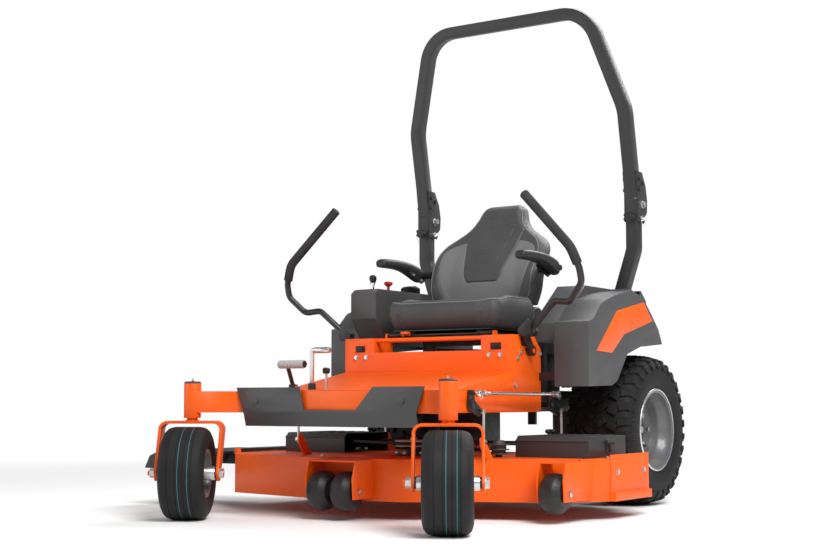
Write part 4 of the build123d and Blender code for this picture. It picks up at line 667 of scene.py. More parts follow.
# ---------------------------------------------------------------------------------------- drive wheels
@dataclass
class DriveWheel:
    """A turf tyre with six rows of lugs, and more over its shoulders, on a dished steel rim."""

    side: Side
    track: float = 0.475
    radius: float = 0.305
    width: float = 0.290
    rim: float = 0.1524
    pitches: int = 30
    lug_rise: float = 0.013

    @property
    def centre(self) -> Vector:
        """Return the middle of the wheel."""
        return self.side.at(self.track, 0.0, self.radius)

    def build(self) -> None:
        """Build the tyre and its rim."""
        self._tyre()
        self._rim()
        self._hub()

    def _piece(self, part: str, slot: str, finish: Finish) -> Piece:
        """Return an empty piece that turns with this wheel."""
        return Piece(f"{part}_{self.side.word}", f"rear_wheel_{self.side.word}", slot, finish)

    def _tyre(self) -> None:
        """Build the carcass and its tread."""
        tyre = self._piece("drive_tyre", "tyre_rubber", TYRE)
        half, crown = self.width / 2, self.radius - self.lug_rise
        bead = self.rim + 0.004
        wall = [(0.127, bead), (0.128, bead + 0.009), (0.133, bead + 0.016), (0.1405, bead + 0.03),
                (half - 0.001, bead + 0.052), (half - 0.0005, self.radius - 0.085),
                (0.1435, self.radius - 0.068), (0.1395, self.radius - 0.05), (0.134, self.radius - 0.036),
                (0.125, crown - 0.012), (0.108, crown - 0.005), (0.07, crown - 0.001), (0.0, crown)]
        inner = [(0.0, crown - 0.012), (0.108, crown - 0.02), (0.12, self.radius - 0.07),
                 (0.122, bead + 0.02), (0.112, bead)]
        outline = [(-x, r) for x, r in wall] + [(x, r) for x, r in reversed(wall[:-1])]
        outline += [(x, r) for x, r in reversed(inner)] + [(-x, r) for x, r in inner[1:]]
        tyre.lathe(outline, self.centre, self.side.outward, steps=96, ring=True)
        for turn in turns(self.pitches):
            for mirror in (-1, 1):
                here = turn + (0.0 if mirror > 0 else pi / self.pitches)
                self._lug(tyre, here, mirror * 0.026, (0.040, 0.024), mirror * 32.0, 0.0)
                self._lug(tyre, here + 0.045, mirror * 0.068, (0.042, 0.026), mirror * -24.0, mirror * 3.0)
                self._lug(tyre, here - 0.02, mirror * 0.111, (0.044, 0.032), mirror * 10.0, mirror * 13.0)
                self._shoulder(tyre, here - 0.02, mirror)
        tyre.done(replaces=[f"rear_tyre_{self.side.word}"], flat=42.0)

    def _lug(self, tyre: Piece, turn: float, across: float, size: tuple[float, float], yaw: float,
             tilt: float) -> None:
        """Stand one tread lug on the carcass.

        Args:
            tyre: The tyre that it belongs to.
            turn: Its angle round the wheel.
            across: How far it lies from the tyre's middle.
            size: Its width across the tread and its length along it.
            yaw: How far it is turned on the tread, in degrees.
            tilt: How far it leans with the crown, in degrees.
        """
        fall = 0.016 * (abs(across) / 0.12) ** 3
        rise = self.lug_rise + 0.006
        place = (Matrix.Translation(self.centre) @ Matrix.Rotation(turn, 4, "X")
                 @ Matrix.Translation((across, 0.0, self.radius - fall - rise / 2))
                 @ Matrix.Rotation(radians(tilt), 4, "Y") @ Matrix.Rotation(radians(yaw), 4, "Z")
                 @ Matrix.Diagonal((size[0], size[1], rise, 1.0)))
        made = bmesh.ops.create_cube(tyre.mesh, size=1.0, matrix=place)
        outward = place.to_3x3() @ Vector((0.0, 0.0, 1.0))
        top = [edge for vert in made["verts"] for edge in vert.link_edges
               if all((end.co - place.translation).dot(outward) > 0 for end in edge.verts)]
        tyre.chamfer(top, 0.0022)

    def _shoulder(self, tyre: Piece, turn: float, mirror: int) -> None:
        """Run one lug down over the shoulder of the tyre."""
        place = (Matrix.Translation(self.centre) @ Matrix.Rotation(turn, 4, "X")
                 @ Matrix.Translation((mirror * 0.1345, 0.0, self.radius - 0.0395))
                 @ Matrix.Rotation(mirror * radians(58.0), 4, "Y")
                 @ Matrix.Diagonal((0.042, 0.026, 0.011, 1.0)))
        made = bmesh.ops.create_cube(tyre.mesh, size=1.0, matrix=place)
        tyre.chamfer((edge for vert in made["verts"] for edge in vert.link_edges), 0.003)

    def _rim(self) -> None:
        """Build the rim with rolled lips, a drop centre and a dished disc."""
        rim = self._piece("drive_rim", "rim_gray", RIM_GRAY)
        seat = self.rim + 0.0015
        drop = [(0.125, seat), (0.095, seat - 0.002), (0.085, seat - 0.018)]
        edge = [(0.1345, seat + 0.0125), (0.1325, seat + 0.0145), (0.130, seat + 0.0135),
                (0.1275, seat + 0.008)]
        outside = edge + drop + [(-x, r) for x, r in (*reversed(drop), *reversed(edge[2:]), edge[0])]
        inside = [(-0.1315, seat - 0.003), (-0.1, seat - 0.006), (-0.088, seat - 0.022),
                  (0.020, seat - 0.022), (0.034, seat - 0.026), (0.047, seat - 0.045), (0.050, 0.085),
                  (0.049, 0.062), (0.049, 0.0405),
                  (0.0575, 0.0405), (0.0575, 0.062), (0.0585, 0.085), (0.0555, seat - 0.042),
                  (0.052, seat - 0.028), (0.075, seat - 0.022), (0.088, seat - 0.021), (0.1, seat - 0.006),
                  (0.1315, seat - 0.003)]
        rim.lathe(outside + inside, self.centre, self.side.outward, steps=96, ring=True)
        rim.done(replaces=[f"rear_rim_{self.side.word}"], flat=50.0)
        lip = self._piece("drive_rim_lip", "zinc_steel", ZINC)
        lip.lathe([(0.1356, seat + 0.006), (0.1372, seat + 0.009), (0.1362, seat + 0.0125),
                   (0.1335, seat + 0.0142), (0.1325, seat + 0.008)],
                  self.centre, self.side.outward, steps=96, ring=True)
        lip.done(flat=60.0)

    def _hub(self) -> None:
        """Build the hub, its lug nuts and the valve."""
        hub = self._piece("drive_hub", "cast_housing", IRON)
        hub.lathe([(0.034, 0.0), (0.034, 0.068), (0.0475, 0.068), (0.0475, 0.0395), (0.064, 0.0395),
                   (0.0665, 0.037), (0.0665, 0.022), (0.060, 0.019), (0.060, 0.0)],
                  self.centre, self.side.outward)
        hub.bar(self.centre - self.side.outward * 0.19, self.centre + self.side.outward * 0.035, 0.0174)
        hub.done()
        nuts = self._piece("drive_lug_nuts", "zinc_steel", ZINC)
        for turn in turns(4):
            seat = self.centre + Vector((self.side.value * 0.0578, 0.057 * cos(turn), 0.057 * sin(turn)))
            nuts.bolt(seat, self.side.outward, across=0.019, head=0.014)
        inner, outer = (self.centre + self.side.outward * reach for reach in (0.058, 0.0672))
        nuts.bar(inner, outer, 0.015, sides=6)
        nuts.done()
        valve = self._piece("drive_valve", "plastic_black", BLACK_PLASTIC)
        reach, turn = 0.128, 0.5
        foot = self.centre + Vector((self.side.value * 0.100, -reach * cos(turn), -reach * sin(turn)))
        valve.bar(foot, foot + self.side.outward * 0.024, 0.0055)
        valve.bar(foot + self.side.outward * 0.024, foot + self.side.outward * 0.034, 0.0048, tip=0.0042)
        valve.done()


# -------------------------------------------------------------------------------------------- casters
@dataclass
class Caster:
    """A swivelling front wheel: fork, axle, rim and a smooth tyre with fine lines."""

    side: Side
    pivot: Point = (0.548, -1.511, 0.0)
    trail: float = 0.073
    rest_turn: float = 31.0
    radius: float = 0.165
    width: float = 0.165
    rim: float = 0.0762
    fork_width: float = 0.232
    fork_top: float = 0.350

    def _local(self, x: float, y: float, z: float) -> Vector:
        """Return a point given about the swivel axis, with the wheel's axle along X."""
        turned = Matrix.Rotation(radians(self.rest_turn), 3, "Z") @ Vector((x, y, z))
        return self.side.at(*self.pivot) + turned

    @property
    def centre(self) -> Vector:
        """Return the middle of the wheel."""
        return self._local(0.0, -self.trail, self.radius)

    @property
    def axle(self) -> Vector:
        """Return the direction of the axle."""
        return Matrix.Rotation(radians(self.rest_turn), 3, "Z") @ Vector((1.0, 0.0, 0.0))

    def build(self) -> None:
        """Build the wheel and dress the fork."""
        self._tyre()
        self._rim()
        formed(f"caster_fork_{self.side.word}", ORANGE, edge=0.003)
        self._fork_details()

    def _wheel_piece(self, part: str, slot: str, finish: Finish) -> Piece:
        """Return an empty piece that turns with the wheel."""
        return Piece(f"{part}_{self.side.word}", f"caster_wheel_{self.side.word}", slot, finish)

    def _tyre(self) -> None:
        """Build the tyre, with shallow rings moulded in its tread and thin coloured lines."""
        tyre = self._wheel_piece("caster_tyre_moulded", "tyre_rubber", TYRE)
        half, bead = self.width / 2, self.rim + 0.003
        wall = [(-half + 0.0145, bead), (-half + 0.0140, bead + 0.010), (-half + 0.006, bead + 0.018),
                (-half + 0.0008, self.radius * 0.72), (-half + 0.001, self.radius * 0.77),
                (-half + 0.0045, self.radius - 0.024), (-half + 0.010, self.radius - 0.0135),
                (-half + 0.018, self.radius - 0.0062), (-half + 0.028, self.radius - 0.0026)]
        tread = []
        for line in (-0.042, -0.014, 0.014, 0.042):
            for across, depth in ((-0.0016, 0.0004), (-0.0008, 0.002), (0.0008, 0.002), (0.0016, 0.0004)):
                tread.append((line + across, self.radius - depth))
        outline = wall + tread + [(-x, r) for x, r in reversed(wall)]
        cavity = [(half - 0.026, bead), (half - 0.014, self.radius * 0.74),
                  (half - 0.034, self.radius - 0.014)]
        outline += cavity + [(-x, r) for x, r in reversed(cavity)]
        tyre.lathe(outline, self.centre, self.axle, steps=96, ring=True)
        tyre.done(replaces=[f"caster_tyre_{self.side.word}"], flat=50.0)
        lines = self._wheel_piece("caster_tyre_lines", "tyre_rubber", TEAL_LINE)
        for place in (-0.004, 0.03):
            lines.lathe([(place - 0.0008, self.radius - 0.0012), (place - 0.0008, self.radius - 0.0002),
                         (place + 0.0008, self.radius - 0.0002), (place + 0.0008, self.radius - 0.0012)],
                        self.centre, self.axle, steps=96, ring=True)
        lines.done()

    def _rim(self) -> None:
        """Build the rim and the tube of its hub."""
        rim = self._wheel_piece("caster_rim_pressed", "rim_gray", RIM_GRAY)
        seat, lip = self.rim + 0.001, self.width / 2 - 0.0145
        edge = [(lip + 0.0005, seat), (lip + 0.0008, seat + 0.009), (lip + 0.003, seat + 0.0098),
                (lip + 0.0045, seat + 0.008), (lip + 0.002, seat - 0.004), (lip - 0.02, seat - 0.007),
                (lip - 0.028, seat - 0.016), (lip - 0.03, 0.045), (lip - 0.026, 0.034), (lip - 0.012, 0.028),
                (lip - 0.012, 0.0235), (lip - 0.034, 0.0235)]
        outline = edge + [(-x, r) for x, r in reversed(edge)]
        rim.lathe(outline, self.centre, self.axle, steps=72, ring=True)
        rim.done(replaces=[f"caster_rim_{self.side.word}"], flat=50.0)
        hub = self._wheel_piece("caster_hub", "zinc_steel", ZINC)
        end = self.fork_width / 2 - 0.010 - 0.006
        hub.lathe([(-end, 0.0096), (-end, 0.0225), (-end + 0.004, 0.024), (end - 0.004, 0.024), (end, 0.0225),
                   (end, 0.0096)], self.centre, self.axle, steps=48, ring=True)
        hub.done()

    def _fork_details(self) -> None:
        """Add the axle's nuts and spacers, and the weld round the swivel tube."""
        body = f"caster_{self.side.word}"
        nuts = Piece(f"caster_axle_nuts_{self.side.word}", body, "zinc_steel", ZINC)
        for way in (-1, 1):
            face = self._local(way * self.fork_width / 2, -self.trail, self.radius)
            nuts.bolt(face, self.axle * way, across=0.030, head=0.0165 if way < 0 else 0.0125)
        nuts.done()
        spacers = Piece(f"caster_spacers_{self.side.word}", body, "plastic_black", BLACK_PLASTIC)
        for way in (-1, 1):
            inner = self._local(way * (self.fork_width / 2 - 0.0155), -self.trail, self.radius)
            outer = self._local(way * (self.fork_width / 2 - 0.0101), -self.trail, self.radius)
            spacers.bar(inner, outer, 0.0185)
        spacers.done()
        weld = Piece(f"caster_fork_weld_{self.side.word}", body, "body_orange", ORANGE)
        top = self._local(0.0, 0.0, self.fork_top)
        ring = [top + Vector((0.0215 * cos(a), 0.0215 * sin(a), 0.001)) for a in turns(24)]
        weld.tube(ring, 0.0028, closed=True)
        weld.done()


# ------------------------------------------------------------------------------------------ seat goods
@dataclass
class Pad:
    """A closed, crowned pad swept over a grid, with sewn lines pressed into its face.

    The face runs over u from -1 to 1 across and v from 0 to 1 along, and the rear follows the same rim.
    """

    name: str
    body: str
    node: str
    face: Callable[[float, float], Vector]
    rear: Callable[[float, float], Vector]
    insert: Callable[[Vector], float]
    counts: tuple[int, int] = (150, 150)
    fill: float = 0.8

    def build(self) -> bpy.types.Object:
        """Return the finished pad, which replaces its CAD solid."""
        piece = Piece(self.name, self.body, "vinyl_gray", SEAT_VINYL)
        for surface in (self.face, self.rear):
            self._sheet(piece.mesh, surface)
        bmesh.ops.remove_doubles(piece.mesh, verts=piece.mesh.verts, dist=0.0004)
        bmesh.ops.recalc_face_normals(piece.mesh, faces=piece.mesh.faces)
        layer = piece.mesh.verts.layers.float.new("insert")
        for vert in piece.mesh.verts:
            vert[layer] = self.insert(vert.co - ORIGIN)
        pad = piece.done(replaces=[self.node], flat=180.0, merge=False)
        return pad

    def _sheet(self, mesh: bmesh.types.BMesh, surface: Callable[[float, float], Vector]) -> None:
        """Lay one grid of the pad over its surface."""
        made = bmesh.ops.create_grid(mesh, x_segments=self.counts[0], y_segments=self.counts[1], size=1.0)
        for vert in made["verts"]:
            vert.co = surface(vert.co.x, (vert.co.y + 1) / 2)


def steps(table: Sequence[tuple[float, float]], value: float) -> float:
    """Return a smooth value between the entries of a table of (place, value) rows."""
    if value <= table[0][0]:
        return table[0][1]
    for (low, first), (high, second) in zip(table, table[1:]):
        if value <= high:
            share = (value - low) / (high - low)
            return first + (second - first) * share * share * (3 - 2 * share)
    return table[-1][1]


def flowing(table: Sequence[tuple[float, float]], value: float) -> float:
    """Return a value on the smooth curve that runs through a table of (place, value) rows."""
    last = len(table) - 1
    value = min(max(value, table[0][0]), table[-1][0])
    here = next(i for i in range(last) if value <= table[i + 1][0])

    def slope(i: int) -> float:
        """Return the curve's slope at one row."""
        before, after = table[max(i - 1, 0)], table[min(i + 1, last)]
        return (after[1] - before[1]) / (after[0] - before[0])

    (low, first), (high, second) = table[here], table[here + 1]
    span = high - low
    t = (value - low) / span
    ends = first * (2 * t ** 3 - 3 * t ** 2 + 1) + second * (3 * t ** 2 - 2 * t ** 3)
    return ends + span * (slope(here) * (t ** 3 - 2 * t ** 2 + t) + slope(here + 1) * (t ** 3 - t ** 2))


def inside(outline: Sequence[tuple[float, float]], x: float, z: float) -> float:
    """Return how far a point lies inside a convex outline given clockwise, below 0 outside it."""
    nearest = 1.0
    for (x0, z0), (x1, z1) in zip(outline, [*outline[1:], outline[0]]):
        length = hypot(x1 - x0, z1 - z0)
        nearest = min(nearest, ((x - x0) * (z1 - z0) - (z - z0) * (x1 - x0)) / length)
    return nearest


@dataclass
class Seat:
    """A high-backed seat with side bolsters, a sewn centre panel and lighter cloth inserts."""

    half: float = 0.264
    front: float = -0.712
    back: float = -0.4005
    top: float = 0.838
    seam: float = 0.768
    back_foot: float = 0.808
    back_top: float = 1.254
    back_limit: float = -0.3915
    back_core: float = 0.05
    arm_x: float = 0.327
    arm_hinge: tuple[float, float] = (-0.345, 0.955)
    widths: tuple = ((0.808, 0.238), (0.87, 0.257), (0.93, 0.262), (1.00, 0.2655), (1.05, 0.257),
                     (1.085, 0.232), (1.115, 0.188), (1.14, 0.152), (1.17, 0.127), (1.21, 0.109),
                     (1.254, 0.092))
    centre_panel: tuple = ((-0.118, 1.195), (0.118, 1.195), (0.138, 1.135), (0.109, 1.02), (0.086, 0.935),
                           (0.070, 0.912), (-0.070, 0.912), (-0.086, 0.935), (-0.109, 1.02), (-0.138, 1.135))
    ribs: tuple = ((1.104, 1.146, 0.089), (1.048, 1.086, 0.075), (0.995, 1.028, 0.062))
    cloth: tuple = ((0.82, 0.170), (0.87, 0.186), (0.91, 0.200), (0.976, 0.216), (1.03, 0.222), (1.06, 0.207),
                    (1.08, 0.165), (1.09, 0.120))

    def build(self) -> None:
        """Build the backrest, the cushion, their piping and the armrests."""
        Pad("seat_backrest", "seat", "seat_back", self._back_face, self._back_rear, self._back_cloth,
            (170, 190)).build()
        Pad("seat_squab", "seat", "seat_cushion", self._squab_face, self._squab_base, self._squab_cloth,
            (150, 130)).build()
        self._piping()
        for side in Side:
            self._armrest(side)

    def _lean(self, z: float) -> float:
        """Return how far to the rear the middle of the backrest's face lies at a height."""
        return flowing(((0.80, -0.385), (0.95, -0.366), (1.07, -0.292), (1.17, -0.236), (1.254, -0.196)), z)

    def _rim(self, u: float, z: float) -> tuple[float, float]:
        """Return how far from the rim a point of the backrest lies, and its share of full depth."""
        half = flowing(self.widths, z)
        from_side = half * (1 - abs(u))
        from_top = max(0.0, self.back_top - z)
        from_low = max(0.0, z - self.back_foot)
        reach = min(from_side, from_top, from_low)
        soft = 0.034
        return reach, 1.0 if reach >= soft else (1 - (1 - reach / soft) ** 2) ** 0.5

    def _back_point(self, u: float, v: float) -> tuple[float, float]:
        """Return a backrest point's X and height."""
        z = self.back_foot + (self.back_top - self.back_foot) * v
        narrow = 0.030 * (1 - min(1.0, (self.back_top - z) / 0.030)) ** 2
        return u * (flowing(self.widths, z) - narrow), z

    def _back_face(self, u: float, v: float) -> Vector:
        """Return a point of the backrest's face."""
        x, z = self._back_point(u, v)
        reach, share = self._rim(u, z)
        middle = self._lean(z) + self.back_core
        bolster = steps(((0.0, 0.0), (0.55, 0.0), (0.86, 1.0), (1.0, 0.85)), abs(x) / 0.26)
        tall = steps(((0.81, 0.6), (0.9, 1.0), (1.03, 0.8), (1.13, 0.0)), z)
        depth = 0.046 + 0.020 * bolster * tall + 0.005 * cos(x * 14) * share
        depth -= self._seams(x, z)
        depth += 0.0012 * noise.noise(Vector((x * 18, z * 18, 3.0)))
        face = max(middle - depth * share, self.back_limit)
        return at(x, face, z)

    def _back_rear(self, u: float, v: float) -> Vector:
        """Return a point of the backrest's rear."""
        x, z = self._back_point(u, v)
        share = self._rim(u, z)[1]
        middle = self._lean(z) + self.back_core
        return at(x, middle + 0.032 * share, z)

    def _seams(self, x: float, z: float) -> float:
        """Return how deep the sewn lines and the embossed bars press in at a point."""
        edge = inside(self.centre_panel, x, z)
        dent = 0.0034 * exp(-(edge / 0.0030) ** 2) - (0.0020 if edge > 0.002 else 0.0)
        cloth = self._back_shape(x, z)
        dent += 0.0026 * exp(-(cloth / 0.0030) ** 2) if edge < 0 else 0.0
        for low, high, half in self.ribs:
            slant = half - (high - z) * 0.18
            gap = min(z - low, high - z, slant - abs(x))
            dent += 0.0016 * exp(-(gap / 0.0022) ** 2) - (0.0012 if gap > 0 else 0.0)
        return dent

    def _back_shape(self, x: float, z: float) -> float:
        """Return how far inside the big cloth insert's rounded outline a point lies."""
        return min(flowing(self.cloth, z) - abs(x), z - 0.815, self.cloth[-1][0] - z) * 0.9

    def _back_cloth(self, point: Vector) -> float:
        """Return a backrest point's distance into the lighter cloth."""
        if point.y > self._lean(point.z) + 0.035:
            return -0.01
        return min(self._back_shape(point.x, point.z), -inside(self.centre_panel, point.x, point.z))

    def _squab_share(self, u: float, v: float) -> float:
        """Return the cushion's share of full height near its rim."""
        reach = min((1 - abs(u)) * self.half, v * 0.306, (1 - v) * 0.6)
        soft = 0.030
        return 1.0 if reach >= soft else (1 - (1 - reach / soft) ** 2) ** 0.5

    def _squab_plan(self, u: float, v: float) -> tuple[float, float]:
        """Return the plan position of a cushion point, with rounded front corners."""
        y = self.front + (self.back - self.front) * v
        corner = max(0.0, 1 - v / 0.22)
        x = u * (self.half - 0.028 * corner ** 2.2)
        y += 0.020 * max(0.0, abs(u) - 0.72) / 0.28 * corner
        return x, y

    def _squab_face(self, u: float, v: float) -> Vector:
        """Return a point of the cushion's top."""
        x, y = self._squab_plan(u, v)
        share = self._squab_share(u, v)
        edge = steps(((0.0, 0.0), (0.6, 0.0), (0.86, 1.0), (1.0, 0.7)), abs(u))
        bolster = 0.020 * edge * steps(((0.0, 0.0), (0.18, 0.0), (0.5, 0.9), (1.0, 1.0)), v)
        dish = -0.014 * (1 - edge) * steps(((0.0, 0.0), (0.25, 0.6), (0.6, 1.0), (1.0, 0.9)), v)
        nose = 0.003 * cos(x * 6) * exp(-((v - 0.12) / 0.1) ** 2)
        seam = 0.0035 * exp(-(self._squab_shape(x, y) / 0.0032) ** 2)
        rise = 0.050 * share + (dish + nose - seam + bolster) * share
        rise += 0.0012 * noise.noise(Vector((x * 16, y * 16, 1.0))) * share
        return at(x, y, min(self.seam + rise, self.top - 0.0005))

    def _squab_base(self, u: float, v: float) -> Vector:
        """Return a point of the cushion's skirt and underside."""
        x, y = self._squab_plan(u, v)
        share = self._squab_share(u, v)
        pull = 1 - 0.05 * share
        wrinkle = 0.003 * noise.noise(Vector((x * 11, y * 11, 7.0)))
        seam = 0.003 * exp(-((abs(x) - 0.192) / 0.004) ** 2) * (1 - v)
        drop = (0.0635 + wrinkle * (1 - share)) * share
        return at(x * pull, y + 0.012 * share * (1 - v) + seam, self.seam - drop)

    def _squab_shape(self, x: float, y: float) -> float:
        """Return how far inside the cushion's cloth a point lies."""
        return min(0.196 - abs(x), y - self.front - 0.052, 0.2)

    def _squab_cloth(self, point: Vector) -> float:
        """Return a cushion point's distance into the lighter cloth."""
        return self._squab_shape(point.x, point.y) if point.z > 0.774 else -0.01

    def _piping(self) -> None:
        """Sew piping round the cushion's top edge and the sides of the backrest."""
        piping = Piece("seat_piping", "seat", "vinyl_gray", PIPING_VINYL)
        piping.tube([self._squab_face(u, v) + UP * 0.001 for u, v in self._squab_loop()], 0.0022)
        for sign in (-1, 1):
            edge = [self._back_face(sign * 0.905, v / 30) for v in range(1, 30)]
            piping.tube(edge, 0.0014)
        piping.done()

    def _squab_loop(self) -> list[tuple[float, float]]:
        """Return the cushion's grid places along its sewn top edge, from rear left round the nose."""
        half = [(0.93, v / 20) for v in range(19, 1, -1)] + [(0.9, 0.065), (0.84, 0.045), (0.75, 0.036)]
        nose = [(u / 10, 0.034) for u in range(6, -7, -1)]
        return half + nose + [(-u, v) for u, v in reversed(half)]

    def _armrest(self, side: Side) -> None:
        """Build one armrest: a padded arm that thins to the front on its hinge boss."""
        sections = [(-0.640, 0.984, 0.0155, 0.021), (-0.622, 0.9865, 0.0185, 0.0265),
                    (-0.58, 0.988, 0.0195, 0.0285), (-0.52, 0.988, 0.0195, 0.029),
                    (-0.46, 0.984, 0.022, 0.029), (-0.41, 0.972, 0.0285, 0.0285),
                    (-0.36, 0.958, 0.033, 0.0275), (-0.333, 0.95, 0.027, 0.024)]
        arm = Piece(f"armrest_pad_{side.word}", f"arm_{side.word}", "plastic_black", ARMREST_SKIN)
        loops = []
        for y, z, high, wide in sections:
            ring = bmesh.ops.create_circle(arm.mesh, segments=20, radius=1.0, cap_ends=False)["verts"]
            for vert in ring:
                cx, cz = vert.co.x, vert.co.y
                square = (abs(cx) ** 3 + abs(cz) ** 3) ** (-1 / 3)
                vert.co = side.at(self.arm_x + cx * square * wide, y, z + cz * square * high)
            loops.append(ring)
        for first, second in zip(loops, loops[1:]):
            edges = [edge for ring in (first, second) for edge in {e for v in ring for e in v.link_edges}
                     if all(end in ring for end in edge.verts)]
            bmesh.ops.bridge_loops(arm.mesh, edges=edges)
        for ring in (loops[0], loops[-1]):
            arm.mesh.faces.new(ring)
        pad = arm.done(replaces=[f"armrest_{side.word}"], levels=2, flat=180.0)
        boss = Piece(f"armrest_hinge_{side.word}", f"arm_{side.word}", "plastic_black", BLACK_PLASTIC)
        for start, end, radius in ((0.2585, 0.305, 0.016), (0.352, 0.356, 0.012)):
            boss.bar(side.at(start, *self.arm_hinge), side.at(end, *self.arm_hinge), radius, sides=32)
        outline = [(-0.325, 0.965), (-0.325, 0.935), (-0.36, 0.918), (-0.44, 0.944), (-0.46, 0.962),
                   (-0.38, 0.968)]
        boss.plate([side.at(0.300, y, z) for y, z in outline], side.at(0.006, 0, 0) - side.at(0, 0, 0))
        boss.done(bevel=0.002)
        screws = Piece(f"armrest_screws_{side.word}", f"arm_{side.word}", "zinc_steel", ZINC)
        for y, z in ((-0.365, 0.932), (-0.425, 0.951)):
            screws.bolt(side.at(0.300, y, z), side.at(-1, 0, 0) - side.at(0, 0, 0), across=0.010, head=0.004)
        screws.done()


# ------------------------------------------------------------------------------------ small hardware
@dataclass
class FrameHardware:
    """Bolts, latches, caps and knobs that are fastened to the frame."""

    tower_front: float = -0.793
    rail_out: float = 0.386
    caster_cap: Point = (0.548, -1.511, 0.485)
    post: Point = (0.514, 0.011, 1.181)
    fold_pivot: tuple[float, float] = (0.030, 1.239)
    pedal: Point = (-0.250, -1.300, 0.474)
    floor: float = 0.461
    stop: tuple[float, float] = (-0.175, -1.200)
    stop_top: float = 0.522

    def build(self) -> None:
        """Build the pieces of every kind."""
        self._bolts()
        self._latches()
        self._caster_caps()
        self._star_knobs()
        self._brackets()

    def _bolts(self) -> None:
        """Build the zinc bolts, which stand for the whole set of small hardware."""
        bolts = Piece("frame_bolts", "chassis", "zinc_steel", ZINC)
        for side in Side:
            for x in (0.282, 0.330):
                bolts.bolt(side.at(x, self.tower_front, 0.594), Vector((0.0, -1.0, 0.0)))
            for y, z in ((-0.741, 0.604), (-0.762, 0.582), (-0.590, 0.602), (-0.784, 0.480)):
                bolts.bolt(side.at(self.rail_out, y, z), side.outward)
            inner, outer = (side.at(x, *self.fold_pivot) for x in (0.4823, 0.5457))
            bolts.bar(inner, outer, 0.008)
            bolts.bolt(outer, side.outward, across=0.024, head=0.010)
            bolts.bolt(inner, -side.outward, across=0.024, head=0.013)
        x, y, z = self.pedal
        bolts.bar(at(x - 0.0135, y, z), at(x + 0.0135, y, z), 0.005)
        bolts.bar(at(*self.stop, self.floor), at(*self.stop, self.stop_top), 0.005)
        bolts.done(replaces=["frame_hardware"])

    def _latches(self) -> None:
        """Build the two rubber latches that hold the tower's front cover."""
        for side in Side:
            latch = Piece(f"tower_latch_{side.word}", "chassis", "plastic_black", BLACK_PLASTIC)
            front = self.tower_front
            latch.box(*side.corners((0.2885, front - 0.003, 0.6145), (0.3325, front, 0.6395)), soften=0.001)
            latch.bar(side.at(0.296, front - 0.006, 0.627), side.at(0.325, front - 0.006, 0.627), 0.0055)
            latch.done(bevel=0.0008)

    def _caster_caps(self) -> None:
        """Build the dust caps on the swivel housings, each with its grease fitting."""
        for side in Side:
            x, y, z = self.caster_cap
            cap = Piece(f"caster_dust_cap_{side.word}", "chassis", "plastic_gray", COVER_GRAY)
            cap.lathe([(0.0, 0.0), (0.0, 0.0305), (0.004, 0.0305), (0.0065, 0.028), (0.0075, 0.022),
                       (0.0078, 0.0)], side.at(x, y, z), UP, steps=48)
            cap.done()
            nipple = Piece(f"caster_grease_fitting_{side.word}", "chassis", "zinc_steel", ZINC)
            top = side.at(x, y, z + 0.0075)
            nipple.bar(top, top + UP * 0.004, 0.005, sides=6)
            nipple.bar(top + UP * 0.004, top + UP * 0.011, 0.003, tip=0.0024)
            nipple.done()

    def _star_knobs(self) -> None:
        """Build the lobed knobs that clamp the roll bar, and the stop knob on the foot plate."""
        forward = Vector((0.0, -1.0, 0.0))
        for side in Side:
            x, y, z = self.post
            knob = Piece(f"roll_bar_knob_{side.word}", "chassis", "plastic_black", BLACK_PLASTIC)
            foot = side.at(x, y - 0.0251, z)
            knob.bar(foot, foot + forward * 0.022, 0.010)
            knob.bar(foot + forward * 0.018, foot + forward * 0.036, 0.0165, sides=24)
            for turn in turns(5):
                lobe = foot + Vector((0.0155 * cos(turn), 0.0, 0.0155 * sin(turn)))
                knob.bar(lobe + forward * 0.019, lobe + forward * 0.035, 0.0075, sides=16)
            knob.done(bevel=0.0012)
        stop = Piece("foot_plate_knob", "chassis", "plastic_black", BLACK_PLASTIC)
        stop.lathe([(0.0, 0.0), (0.0, 0.011), (0.005, 0.014), (0.017, 0.014), (0.022, 0.010), (0.0225, 0.0)],
                   at(*self.stop, self.stop_top), UP, steps=32)
        stop.done()

    def _brackets(self) -> None:
        """Build the fender stays, the pedal's ears and the collar of the height crank."""
        steel = Piece("frame_brackets", "chassis", "satin_charcoal", BLACK_PAINT)
        for side in Side:
            steel.box(*side.corners((self.rail_out, -0.595, 0.500), (0.500, -0.585, 0.530)))
        x, y, z = self.pedal
        for ear_x in (x - 0.012, x + 0.006):
            steel.box(at(ear_x, y - 0.012, self.floor), at(ear_x + 0.006, y + 0.012, z + 0.008))
        steel.lathe([(0.0, 0.0083), (0.0, 0.015), (0.024, 0.013), (0.024, 0.0083)],
                    at(-0.126, -1.350, self.floor), UP, steps=32, ring=True)
        steel.done(bevel=0.001)


